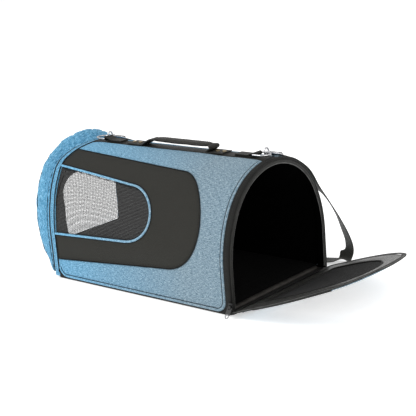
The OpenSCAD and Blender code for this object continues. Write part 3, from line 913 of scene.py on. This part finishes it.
def rim_corner(name, sign):
    """Black cloth below each rounded corner of the side fabric."""
    for side, word in ((-1, "front"), (1, "back")):
        turn = np.linspace(0, math.pi / 2, 14)
        cx, cs = RIM_X - CORNER_R, S_FOOT - CORNER_R
        arc = np.stack([cx + CORNER_R * np.cos(turn), cs + CORNER_R * np.sin(turn)], -1)
        bends = [0, math.pi / 4, math.pi / 2]
        corner = np.stack([np.interp(turn, bends, [RIM_X, RIM_X, cx]),
                           np.interp(turn, bends, [cs, S_FOOT, S_FOOT])], -1)
        rows = []
        for f, out in ((0.0, -0.0004), (0.35, 0.0003), (1.0, 0.0004), (1.0, -0.003)):
            line = arc * (1 - f) + corner * f
            rows.append(on_arch(sign * line[:, 0], side * line[:, 1], out))
        grid = np.stack(rows, 1)
        if sign * side < 0:
            grid = grid[:, ::-1]
        grid_piece(f"{name}_corner_{word}", grid, "binding")


# ---------- base ----------
def plate_outline(lx, ly, radius, inset=0.0, count=12):
    r = max(radius - inset, 0.0005)
    cx, cy = lx / 2 - radius, ly / 2 - radius
    points = []
    for sx, sy, start in ((1, 1, 0), (-1, 1, 90), (-1, -1, 180), (1, -1, 270)):
        turn = np.radians(np.linspace(start, start + 90, count))
        points.append(np.stack([sx * cx + r * np.cos(turn), sy * cy + r * np.sin(turn)], -1))
    return np.concatenate(points)


def soft_plate(name, size, radius, low, high, edge, material, **options):
    """A plate with rounded edges, closed top and bottom."""
    rings = []
    for f in np.linspace(-math.pi / 2, math.pi / 2, 7):
        outline = plate_outline(size[0], size[1], radius, edge * (1 - math.cos(f)))
        z = (low + high) / 2 + (high - low) / 2 * math.sin(f)
        rings.append(np.column_stack([outline, np.full(len(outline), z)]))
    shrink = [np.array([f, f, 1.0]) for f in (0.9, 0.6, 0.3, 0.02)]
    points = [rings[0] * k for k in shrink[::-1]] + rings + [rings[-1] * k for k in shrink]
    return grid_piece(name, np.stack(points), material, wrap=(False, True), **options)


def make_base():
    low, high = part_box("base_panel")
    soft_plate("base_cloth", (high.x - low.x, high.y - low.y), 0.012, low.z, high.z, 0.0016, "base",
               slot="base_black", replaces=["base_panel"])
    low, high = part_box("base_board")
    soft_plate("stiff_board", (high.x - low.x, high.y - low.y), 0.010, low.z, high.z, 0.001, "board",
               replaces=["base_board"])
    foot = plate_outline(2 * HALF_L - 0.003, 2 * HALF_W - 0.003, 0.012)
    path = np.column_stack([foot, np.full(len(foot), 0.0036)])
    path = np.concatenate([path, path[:1]])
    sweep("base_binding", path, (0, 0, 1), flat_section(0.0046, 0.0022, 5), "binding")


def make_floor_mat():
    """Quilted fleece mat, crowned between its sewn channels."""
    low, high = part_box("floor_mat")
    nx, ny = 120, 72
    x = np.linspace(-1, 1, nx)[:, None]
    y = np.linspace(-1, 1, ny)[None]
    fat = (1 - np.abs(x) ** 12) ** 0.5 * (1 - np.abs(y) ** 10) ** 0.5
    channel = np.minimum(np.abs(np.sin(x * math.pi * 2.5)) ** 0.35,
                         np.abs(np.sin(y * math.pi * 1.5 + math.pi / 2)) ** 0.35)
    sides = 1 - 0.012 * (1 - np.abs(y) ** 2) * np.abs(x) ** 4
    depth = high.z - low.z
    px = x * (high.x - low.x) / 2 * sides
    py = y * (high.y - low.y) / 2 * (1 - 0.015 * (1 - np.abs(x) ** 2) * np.abs(y) ** 4)
    px, py = np.broadcast_to(px, fat.shape), np.broadcast_to(py, fat.shape)
    top = low.z + depth * (0.35 + 0.45 * fat + 0.20 * fat * channel)
    bottom = low.z + depth * 0.35 * (1 - fat)
    up = np.stack([px, py, top], -1)
    under = np.stack([px, py, bottom], -1)[:, ::-1]
    grid = np.concatenate([up, under[:, 1:-1]], axis=1)
    # painted shade: the mat takes the near-black fleece colour for the shade inside the cabin
    mat = grid_piece("fleece_mat", grid[::-1], "mat", wrap=(False, True), slot="mat", replaces=["floor_mat"])


# ---------- ridge, handle and tabs ----------
def ribbon_xz(name, points, width, thick, material, steps=5, **options):
    """Webbing of that width across Y, through given (x, z) points."""
    path = smooth_path([(x, 0, z) for x, z in points], steps)
    return sweep(name, path, (0, 1, 0), flat_section(width, thick), material, **options)


def make_ridge():
    s = np.linspace(-RIDGE_HALF, RIDGE_HALF, 13)
    lift = 0.0017 * (1 - (np.abs(s) / RIDGE_HALF) ** 8) + 0.0004
    x = np.linspace(-RIM_X - 0.002, RIM_X + 0.002, 140)
    rows = [on_arch(x, np.full(len(x), a), b) for a, b in zip(s, lift)]
    tucked = [on_arch(x, np.full(len(x), a), -0.001) for a in (-RIDGE_HALF, RIDGE_HALF)]
    rows = tucked[:1] + rows + tucked[1:]
    grid_piece("ridge_strip", np.stack(rows, 1), "webbing", replaces=["ridge_webbing"])
    for a, word in ((-0.0142, "front"), (0.0142, "back")):
        path = on_arch(x, np.full(len(x), a), 0.00215)
        stitches("ridge_stitches_" + word, path, (0, 1, 0), colour="tape")


# the handle webbing: (length x, height over the ridge, share of its full width)
HANDLE_PROFILE = [(-0.122, 0.0034, 1), (-0.104, 0.0034, 1), (-0.088, 0.0034, 1), (-0.0815, 0.0052, 1),
                  (-0.074, 0.0096, 1), (-0.067, 0.0128, 0.95), (-0.060, 0.0136, 0.75), (-0.02, 0.0136, 0.6),
                  (0.03, 0.0136, 0.6), (0.078, 0.0136, 0.72), (0.0865, 0.0128, 1), (0.0875, 0.0096, 1),
                  (0.0815, 0.0058, 1), (0.0790, 0.0040, 1), (0.0835, 0.0033, 1), (0.096, 0.0034, 1),
                  (0.118, 0.0034, 1)]
HANDLE_T = 0.0024


def make_handle():
    """Sewn webbing handle with a padded grip."""
    lifted = [(x, HEIGHT + rise + (0.0012 if rise > 0.012 else 0)) for x, rise, _ in HANDLE_PROFILE]
    narrowing = [share for _, _, share in HANDLE_PROFILE]
    widths = smooth_path([(w, 0, 0) for w in narrowing], 5)[:, 0]
    ribbon_xz("handle_strap", lifted, HANDLE_W, HANDLE_T, "webbing", widths=widths, slot="webbing",
              replaces=["handle_webbing"])
    low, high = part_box("handle_grip")
    x = np.linspace(low.x, high.x, 60)
    f = (x - low.x) / (high.x - low.x) * 2 - 1
    end = (1 - np.abs(f) ** 14) ** 0.5
    turn = np.linspace(0, 2 * math.pi, 33)[:-1]
    cy = np.sign(np.cos(turn)) * np.abs(np.cos(turn)) ** 0.55
    cz = np.sign(np.sin(turn)) * np.abs(np.sin(turn)) ** 0.8
    half_y, half_z = 0.0108, 0.0037
    middle_z = (low.z + high.z) / 2 + 0.0014
    waves = np.array([[noise.noise(Vector((a * 60, math.cos(b) * 2, math.sin(b) * 2))) for b in turn]
                      for a in x])
    swell = (1 + 0.05 * np.cos(f * 2.4))[:, None] * end[:, None]
    grid = np.stack([np.broadcast_to(x[:, None], waves.shape),
                     (half_y * 0.97 + 0.0006 * waves) * cy[None] * swell,
                     middle_z + (half_z + 0.0005 * waves) * cz[None] * swell], -1)
    grip = grid_piece("grip_pad", grid, "grip", wrap=(False, True), slot="grip", replaces=["handle_grip"])
    sewn_x = x[2:-2]
    for side, word in ((-1, "front"), (1, "back")):
        at = np.ones(len(sewn_x))
        path = np.stack([sewn_x, at * (side * half_y * 0.80), at * (middle_z + half_z * 0.8)], -1)
        stitches("grip_stitches_" + word, path, (0, 1, 0), colour="tape")


def make_ring_tabs():
    for sign, name in ((1, "right"), (-1, "left")):
        low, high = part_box(name + "_d_ring")
        bar_x = sign * RING_BAR_X
        bar_z = (low.z + high.z) / 2
        z = HEIGHT + 0.0030
        r = 0.0030
        loop = [(bar_x - sign * 0.044, z), (bar_x - sign * 0.020, z), (bar_x - sign * 0.008, z + 0.0002)]
        for turn in np.radians([-75, -30, 15, 60, 105, 150]):
            loop.append((bar_x + sign * r * math.cos(turn), bar_z + r * math.sin(turn)))
        loop += [(bar_x - sign * 0.008, z + 0.0046), (bar_x - sign * 0.015, z + 0.0021),
                 (bar_x - sign * 0.028, z + 0.0019), (bar_x - sign * 0.043, z + 0.0019)]
        ribbon_xz(name + "_tab_loop", loop, 0.0215, 0.0015, "webbing",
                  replaces=[name + "_ring_tab"])


# ---------- shoulder strap ----------
# The strap's route from the right hook to the left one, as in the CAD.
ROUTE = [(0.198, 0.042, 0.2455), (0.199, 0.058, 0.239), (0.201, 0.082, 0.228), (0.206, 0.112, 0.203),
         (0.214, 0.136, 0.167), (0.224, 0.158, 0.135), (0.232, 0.177, 0.100), (0.237, 0.191, 0.067),
         (0.241, 0.199, 0.039), (0.239, 0.198, 0.019), (0.224, 0.190, 0.007), (0.190, 0.181, 0.0026),
         (0.120, 0.173, 0.0018), (0.060, 0.170, 0.0036), (0.0, 0.169, 0.0018), (-0.120, 0.171, 0.0018),
         (-0.186, 0.179, 0.0024), (-0.216, 0.188, 0.0075), (-0.226, 0.194, 0.024), (-0.224, 0.190, 0.054),
         (-0.219, 0.178, 0.093), (-0.212, 0.158, 0.135), (-0.206, 0.136, 0.167), (-0.203, 0.112, 0.203),
         (-0.201, 0.082, 0.228), (-0.199, 0.058, 0.239), (-0.198, 0.042, 0.2455)]
SPREAD = ([(1, 0, 0)] * 4 + [(0.9, -0.4, 0), (0.72, -0.69, 0), (0.74, -0.67, 0), (0.85, -0.53, 0)]
          + [(0.88, -0.47, 0), (0.9, -0.3, 0), (0.35, 0.9, 0)] + [(0, 1, 0)] * 6
          + [(-0.35, 0.9, 0), (-0.85, 0.5, 0), (-1, 0.1, 0)] + [(-1, 0, 0)] * 7)
STRAP_W = 0.030
STRAP_T = 0.0020
# the snap hooks: place, tilt, and how far out their eye bar is
HOOK_X = 0.198
HOOK_Y = 0.0145
HOOK_RISE = 0.0094
HOOK_TILT = math.radians(-22)
HOOK_EYE = 0.027


def make_strap():
    path = smooth_path(ROUTE, 8)
    hint = smooth_path(SPREAD, 8)
    strap = sweep("strap_webbing", path, hint, flat_section(STRAP_W, STRAP_T), "strap",
                  replaces=["shoulder_strap"])
    length = float(steps_along(path)[-1])
    for sign, name in ((1, "right"), (-1, "left")):
        start = path[:22] if sign > 0 else path[::-1][:22]
        _, side, normal = frames_along(start, (1, 0, 0))
        under = start - np.sign(normal[:, 2:]) * normal * 0.0023
        bar = Vector(hook_bar(sign))
        turn = np.radians(np.linspace(100, 300, 9))
        eye = [(bar.x, bar.y - 0.0030 * math.sin(t), bar.z - 0.0030 * math.cos(t)) for t in turn[::-1]]
        loop = np.concatenate([under[:3:-1], np.array(eye)])
        loop = smooth_path(np.concatenate([loop[:-9:3], loop[-9:]]), 3)
        folded = sweep(name + "_strap_fold", loop, (1, 0, 0), flat_section(STRAP_W * 0.98, 0.0017), "strap")
        box = start[6:20] + np.sign(normal[6:20, 2:]) * normal[6:20] * (STRAP_T / 2 + 0.0001)
        for offset in (-0.011, 0.011):
            stitches(f"{name}_strap_stitches_{'in' if offset < 0 else 'out'}",
                                   box + side[6:20] * offset, (1, 0, 0), colour="tape", slot="strap")


def hook_bar(sign):
    """Middle of the snap hook's outer eye bar."""
    return (sign * HOOK_X, HOOK_Y + HOOK_EYE * math.cos(HOOK_TILT),
            HEIGHT + HOOK_RISE + HOOK_EYE * math.sin(HOOK_TILT))


# ---------- end doors ----------
def door_ring(inset, foot):
    """A closed loop of (y, z): over the arch at that inset, then back along the foot."""
    _, heights, _, up = arch(TABLE_S)
    s_end = float(np.interp(-foot, inset * up - heights, TABLE_S))
    y, z, ny, nz = arch(np.linspace(-s_end, s_end, ARCH_STEPS))
    over = np.stack([y - ny * inset, z - nz * inset], -1)
    back = np.linspace(over[-1], over[0], FOOT_STEPS + 2)[1:-1]
    return np.concatenate([over, back])


def square_ring(ring):
    """Widens a net's opening towards its top and squares its upper corners."""
    y, z = ring[:, 0], ring[:, 1] - MESH_FOOT
    turn = np.arctan2(np.maximum(ring[:, 1] - CROWN_Z, 0), np.abs(y))
    corner = np.sin(2 * turn)
    wide = y * (1 + 0.15 * np.clip(z / 0.09, 0, 1)) + np.sign(y) * 0.011 * corner
    return np.stack([wide, MESH_FOOT + z * 1.08 + 0.008 * corner], -1)


def soften(ring, rounds):
    """Rounds a closed loop's corners."""
    for _ in range(rounds):
        ring = 0.5 * ring + 0.25 * (np.roll(ring, 1, axis=0) + np.roll(ring, -1, axis=0))
    return ring


# sections of the border roll, in millimetres: (distance in from the rim, distance out from the cabin)
ROLL_FULL = [(1.5, 4), (-0.5, 5.5), (-1.2, 8), (0.2, 11.5), (-2.2, 14), (-5.2, 20), (-7, 30), (-7.6, 38),
             (-5, 43.5), (-4.6, 46), (-1, 51), (6, 55.5), (16, 57), (27, 55.5), (37, 51), (46, 45), (54, 40),
             (62, 36.5), (68, 34.6), (72.5, 34), (72.5, 32.6), (64, 31), (50, 28.5), (38, 26), (26, 20),
             (16, 13), (8, 6), (4.5, 4)]
ROLL_FLAT = [(1.5, 4), (0.5, 4.6), (0.2, 5.2), (0.8, 6), (1.2, 6.8), (2, 8), (3.5, 10), (6, 12), (8.5, 13),
             (10, 14), (14, 16), (20, 19), (27, 22), (34, 25), (42, 28), (50, 30.5), (57, 32.5), (63, 33.8),
             (68, 34.2), (72.5, 34), (72.5, 32.6), (64, 31), (50, 27), (38, 22), (26, 16), (16, 11), (8, 6.5),
             (4.5, 4)]
# columns of the roll's grid: its sewn rim line, its crease, its crest and where its inside begins
RIM_COLUMN = 6
CREASE_COLUMN = 16
CREST_COLUMN = 30
INSIDE_COLUMN = 39
SEWN_COLUMNS = {0, 1, 6, 7, 16, 17} | set(range(36, 56))
SWELL_CAP = 0.005
# how full the roll is at each height above the floor
ROLL_HEIGHTS = [0.009, 0.032, 0.052, 0.079, 0.115, 0.150, 0.192, 0.248]
ROLL_SHARES = [0.12, 0.25, 0.50, 0.64, 0.76, 0.84, 0.92, 1.0]
# how much further than the plain roll it flares out from the arch at each height
ROLL_FLARES = [1.0, 1.0, 1.0, 1.0, 1.3, 1.8, 2.5, 2.5]


def make_left_door():
    """Domed door: puffy border roll, net middle, zip tape and a cloth hinge."""
    outer = soften(door_ring(0.0, DOOR_FOOT), 3)
    inner = square_ring(door_ring(MESH_INSET, MESH_FOOT))
    full = smooth_path([(a, b, 0) for a, b in ROLL_FULL], 2, closed=True)[:, :2] * 0.001
    flat = smooth_path([(a, b, 0) for a, b in ROLL_FLAT], 2, closed=True)[:, :2] * 0.001
    share = np.interp(outer[:, 1], ROLL_HEIGHTS, ROLL_SHARES)[:, None, None]
    flare = np.interp(outer[:, 1], ROLL_HEIGHTS, ROLL_FLARES)[:, None]
    shape = full[None] * share + flat[None] * (1 - share)
    shape[..., 0] = np.where(shape[..., 0] < 0, shape[..., 0] * flare, shape[..., 0])
    span = (inner - outer)[:, None]
    width = np.linalg.norm(span, axis=2, keepdims=True)
    yz = outer[:, None] + span / width * shape[..., :1] * width / MESH_INSET
    points = np.concatenate([-HALF_L - shape[..., 1:2], yz], -1)
    points[:ARCH_STEPS, :, 0] -= follow_bow(points[:ARCH_STEPS], shape[:ARCH_STEPS])
    border = grid_piece("left_roll", points, "melange", wrap=(True, True), ride=False, slot="melange")
    fix_outward(border)
    puff_roll(border, points.shape[:2])
    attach(border, "left_door")
    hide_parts("left_door_border")
    make_left_net(inner)
    roll_lines(points)
    # painted shade: the roll's inner skin takes the near-black lining colour, standing for the shade inside
    # the cabin behind the net
    skin = grid_piece("left_roll_lining", points[:, INSIDE_COLUMN:] + np.array([0.0008, 0, 0]), "lining",
                      wrap=(True, False), body="left_door", slot="lining")
    if sum(polygon.normal.x for polygon in skin.data.polygons) < 0:
        skin.data.flip_normals()
    coil = across_arch(-HALF_L - 0.0036, arch_line(DOOR_COIL_FOOT, 400), -0.0016)
    teeth("left_door_teeth", *coil, "left_door", 0.0034)
    tape = [(HALF_L + 0.0030, -0.0002), (HALF_L + 0.0044, -0.0002), (HALF_L + 0.0044, -0.0036),
            (HALF_L + 0.0030, -0.0036)]
    arch_band("left_door_tape", tape, DOOR_COIL_FOOT, "tape", True, slot="zip_coil", body="left_door",
              replaces=["left_door_coil"])
    make_hinge("left", -1)


def follow_bow(points, shape):
    """Shift that keeps the roll against the bowed rim and fades towards its outside and its net."""
    s_end = float(s_of_z(DOOR_FOOT))
    rim = bow(-HALF_L, np.linspace(-s_end, s_end, len(points)))[:, None]
    fade_out = 1 - np.clip((shape[..., 1] - 0.004) / 0.053, 0, 1)
    fade_in = 1 - np.clip(shape[..., 0] / MESH_INSET, 0, 1)
    return rim * fade_out * fade_in


def fix_outward(piece):
    """Turns the faces round if the closed mesh is inside out."""
    mesh = piece.data
    volume = 0.0
    for polygon in mesh.polygons:
        volume += polygon.center.dot(polygon.normal) * polygon.area
    if volume < 0:
        mesh.flip_normals()


def puff_roll(piece, shape):
    """Lets the border's cloth swell and wrinkle between its sewn lines."""
    mesh = piece.data
    count = shape[1]
    group = piece.vertex_groups.new(name="sewn")
    indices = [i for i in range(len(mesh.vertices)) if i % count in SEWN_COLUMNS]
    group.add(indices, 1.0, "REPLACE")
    rest = np.zeros(len(mesh.vertices) * 3)
    mesh.vertices.foreach_get("co", rest)
    rest = rest.reshape(-1, 3)
    modifier = piece.modifiers.new("cloth", "CLOTH")
    settings = modifier.settings
    settings.vertex_group_mass = "sewn"
    settings.quality = 5
    settings.mass = 0.2
    settings.tension_stiffness = 20
    settings.compression_stiffness = 20
    settings.bending_stiffness = 0.4
    settings.shrink_min = -0.05
    settings.use_pressure = True
    settings.uniform_pressure_force = 1.0
    settings.effector_weights.gravity = 0
    scene = bpy.context.scene
    modifier.point_cache.frame_start = 1
    modifier.point_cache.frame_end = SIM_FRAMES
    for number in range(1, SIM_FRAMES + 1):
        scene.frame_set(number)
    graph = bpy.context.evaluated_depsgraph_get()
    made = piece.evaluated_get(graph).to_mesh()
    moved = np.zeros(len(mesh.vertices) * 3)
    made.vertices.foreach_get("co", moved)
    shift = moved.reshape(-1, 3) - rest
    size = np.linalg.norm(shift, axis=1, keepdims=True)
    shift *= np.minimum(1, SWELL_CAP / np.maximum(size, 1e-9))
    piece.modifiers.clear()
    mesh.vertices.foreach_set("co", (rest + shift).ravel())
    mesh.update()
    scene.frame_set(1)


def roll_lines(points):
    """Stitch rows and dark seam cords sunk in the border's dips."""
    for column, name, radius in ((RIM_COLUMN, "rim", 0.0007), (CREASE_COLUMN, "crease", 0.0011)):
        row = points[:ARCH_STEPS, column]
        hint = row - points[:ARCH_STEPS, CREST_COLUMN]
        outward = hint / np.linalg.norm(hint, axis=1, keepdims=True)
        sweep("roll_seam_" + name, row, hint, round_section(radius, 6), "thread", body="left_door",
              slot="oxford")
        stitches("roll_stitches_" + name, row + 0.0003 * outward, hint, body="left_door")


def stretched_net(name, ring, levels, place, body, node):
    """A net inside a closed loop of (y, z), as shrinking loops; `place` puts one loop in space."""
    ring = ring[::2]
    centre = ring.mean(axis=0)
    loops = [centre + (ring - centre) * level for level in levels]
    grid = np.stack([place(loop, level) for loop, level in zip(loops, levels)])
    faces, _ = grid_faces(grid, False, True)
    uv = np.concatenate(loops)
    net = new_piece(name, grid, faces, uv[faces.ravel()], "door_net", body=body, slot="mesh", replaces=[node])


def make_left_net(ring):
    overlap, sag = 1.01, 0.0016

    def place(loop, level):
        slack = sag * (1 - (level / overlap) ** 2)
        return np.column_stack([np.full(len(loop), -NET_X + slack), loop])

    levels = np.linspace(1.0, 0.02, 26) * overlap
    stretched_net("left_net", ring, levels, place, "left_door", "left_door_mesh")


def make_hinge(name, sign):
    """Strip of cloth that joins a door's foot to the base."""
    y = np.linspace(-0.120, 0.120, 49)
    if sign > 0:
        end = door_point(0.0, 0.012, 0.001)
        middle = (HINGE_X + 0.0012, HINGE_Z - 0.0034)
        lead = [(HALF_L - 0.004, 0.0022), (HALF_L + 0.002, 0.0018), middle, (end[0], end[2])]
    else:
        lead = [(-HALF_L + 0.004, 0.0022), (-HALF_L - 0.003, 0.0018), (-HINGE_X - 0.0006, 0.0045),
                (-HINGE_X - 0.0002, 0.0120)]
    curve = smooth_path([(a, 0, b) for a, b in lead], 6)
    rows = []
    for point in curve:
        wave = 0.0004 * np.array([noise.noise(Vector((v * 60, point[0] * 50, 4.0))) for v in y])
        rows.append(np.stack([np.full(len(y), point[0]), y, point[2] + wave], -1))
    strip = grid_piece(name + "_hinge_cloth", np.stack(rows), "binding", ride=False, slot="binding")
    thicken(strip, 0.0012)
    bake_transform(strip)
    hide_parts(name + "_door_hinge")


def door_point(y, a, h):
    """Right door: breadth y, distance a up the door from its hinge, height h on its outer side."""
    near = np.clip(-np.asarray(y) / 0.12, 0, 1) ** 2
    lift = near * (0.0020 + 0.0008 * np.clip(np.asarray(a) / 0.05, 0, 1))
    lift = lift + 0.004 * np.clip((np.asarray(a) - 0.190) / 0.050, 0, 1) ** 2
    h = h - lift
    x = HINGE_X + h * math.cos(SWING) + a * math.sin(SWING)
    z = HINGE_Z - h * math.sin(SWING) + a * math.cos(SWING)
    return np.stack(np.broadcast_arrays(x, y, z), -1)


# sections round the right door: (share of the way in from its edge to its net, height on its outer side)
OUTSIDE_SECTION = [(0.0, -0.0012), (-0.010, 0.0006), (-0.004, 0.0020), (0.10, 0.0030), (0.3, 0.0036),
                   (0.5, 0.0037), (0.7, 0.0035), (0.9, 0.0028), (1.0, 0.0018), (1.01, 0.0008)]
FACING_SECTION = [(1.01, 0.0008), (0.99, -0.0008), (0.9, -0.0020), (0.7, -0.0028), (0.5, -0.0030),
                  (0.3, -0.0024), (0.12, -0.0016), (0.0, -0.0012)]
TAPE_SECTION = [(0.02, -0.0024), (-0.05, -0.0030), (-0.14, -0.0022), (-0.19, 0.0002), (-0.185, 0.0008),
                (-0.13, -0.0012), (-0.04, -0.0016), (0.02, -0.0024)]
BINDING_SECTION = [(-0.014, -0.0010), (-0.018, 0.0008), (-0.008, 0.0026), (0.09, 0.0040), (0.095, 0.0030)]
# the part of each long side, as distances up the door, that has black binding over its blue edge
BOUND_FROM = 0.04
BOUND_TO = 0.19


def door_loft(name, outer, inner, section, material, closed=True, **options):
    """Cloth along the right door's edge, from one of the sections above."""
    rows = []
    for share, height in section:
        ring = outer + (inner - outer) * share
        rows.append(door_point(ring[:, 0], ring[:, 1] - HINGE_Z, height))
    grid_piece(name, np.stack(rows, 1), material, wrap=(closed, False), body="right_door", **options)


def make_right_door():
    """Flat door folded open: blue outside, grey satin inside, net middle, zip tape round its edge."""
    outer = soften(door_ring(0.0015, DOOR_FOOT), 10)
    inner = soften(door_ring(BORDER_W, DOOR_FOOT + BORDER_W), 6)
    door_loft("right_border", outer, inner, OUTSIDE_SECTION, "melange", replaces=["right_door_border"])
    door_loft("right_facing", outer, inner, FACING_SECTION, "satin", replaces=["right_door_trim"])
    ring_pipe("right_door_inner_binding", inner, -0.0012, 0.0018)
    door_loft("right_door_tape", outer, inner, TAPE_SECTION, "tape", slot="zip_coil",
              replaces=["right_door_coil"])
    edge_binding(outer[:ARCH_STEPS], inner[:ARCH_STEPS])
    ring = outer + (inner - outer) * -0.17
    path = door_point(ring[:, 0], ring[:, 1] - HINGE_Z, -0.0014)[:ARCH_STEPS + 1]
    net_edge = door_point(inner[:, 0], inner[:, 1] - HINGE_Z, -0.0014)[:ARCH_STEPS + 1]
    teeth("right_door_teeth", path, path - net_edge, "right_door", 0.0034)
    make_right_net(inner)
    make_right_yarns(inner)
    make_hinge("right", 1)


def edge_binding(outer, inner):
    """Black binding over the blue edge along both long sides of the right door."""
    height = outer[:, 1] - HINGE_Z
    for side, word in ((-1, "front"), (1, "back")):
        chosen = (height > BOUND_FROM) & (height < BOUND_TO) & (outer[:, 0] * side > 0)
        door_loft("right_edge_binding_" + word, outer[chosen], inner[chosen], BINDING_SECTION, "binding",
                  closed=False)


def ring_pipe(name, ring, height, radius):
    """A round binding along a closed loop on the right door."""
    path = door_point(ring[:, 0], ring[:, 1] - HINGE_Z, height)
    section = round_section(radius, 8)
    return sweep(name, path, path - path.mean(axis=0), section, "binding", closed=True, body="right_door")


def make_right_net(ring):
    def place(loop, level):
        return door_point(loop[:, 0], loop[:, 1] - HINGE_Z, 0.0006 + 0.0016 * (1 - level ** 2))

    stretched_net("right_net", ring, np.linspace(1.02, 0.02, 28), place, "right_door", "right_door_mesh")


def make_right_yarns(ring, pitch=0.0030, radius=0.00042):
    """The net's own round yarns, which close it to a shallow glance."""
    low, high = ring.min(axis=0), ring.max(axis=0)
    paths = []
    for axis in (0, 1):
        for place in np.arange(low[axis] + pitch / 2, high[axis], pitch):
            other = np.linspace(low[1 - axis], high[1 - axis], 120)
            line = np.stack([np.full(120, place), other] if axis == 0 else [other, np.full(120, place)], -1)
            kept = line[inside(line, ring)]
            if len(kept) > 6:
                paths.append(kept[np.linspace(0, len(kept) - 1, 14).astype(int)])
    rows, faces = [], []
    section = round_section(radius, 4)
    for number, line in enumerate(paths):
        path = door_point(line[:, 0], line[:, 1] - HINGE_Z, -0.0002)
        _, side, normal = frames_along(path, (0.3, 0.4, 1.0))
        tube = path[:, None] + side[:, None] * section[None, :, :1] + normal[:, None] * section[None, :, 1:]
        quads, uv = grid_faces(tube, False, True)
        rows.append((tube.reshape(-1, 3), quads + number * tube.shape[0] * tube.shape[1], uv))
    verts = np.concatenate([r[0] for r in rows])
    faces = np.concatenate([r[1] for r in rows])
    uv = np.concatenate([r[2] for r in rows])
    new_piece("right_net_yarns", verts, faces, uv, "yarn", body="right_door", slot="mesh")


# ---------- CAD pieces that stay, with their finish ----------
def dress_cad():
    """Gives the small metal and moulded CAD pieces their materials."""
    finishes = {"handle_rivets": "brass", "strap_slider": "buckle"}
    for end in ("left_", "right_"):
        finishes |= {end + part: "lacquer" for part in ("frame_wire", "slider", "pull")}
        finishes |= {end + part: "chrome" for part in ("d_ring", "hook", "hook_gate")}
        finishes[end + "pull_ring"] = "dull_chrome"
    for node, finish in finishes.items():
        mesh = frame["nodes"][node].data
        mesh.materials.clear()
        mesh.materials.append(MATS[finish])


def make_floor():
    """A plain pale floor just under the carrier."""
    half, z = 6.0, -0.0009
    corners = [(-half, -half, z), (half, -half, z), (half, half, z), (-half, half, z)]
    mesh = bpy.data.meshes.new("floor")
    mesh.from_pydata(corners, [], [(0, 1, 2, 3)])
    shader = Shader("floor_paper")
    place = shader.add("TexCoord", out=3)
    cloud = shader.noise(place, 3.0, 2)
    base = shader.ramp(cloud, [(0.3, grey(0.90)), (0.7, grey(0.93))])
    mesh.materials.append(shader.finish(Base_Color=base, Roughness=0.9, Emission_Color=(1.0, 1.0, 1.0),
                                        Emission_Strength=0.50))
    floor = bpy.data.objects.new("floor", mesh)
    bpy.context.scene.collection.objects.link(floor)


MATS = make_materials()
make_camera()
make_strap()
make_light()
make_floor()
make_sides()
make_welts()
make_rims()
make_base()
make_floor_mat()
make_ridge()
make_handle()
make_ring_tabs()
make_left_door()
make_right_door()
dress_cad()
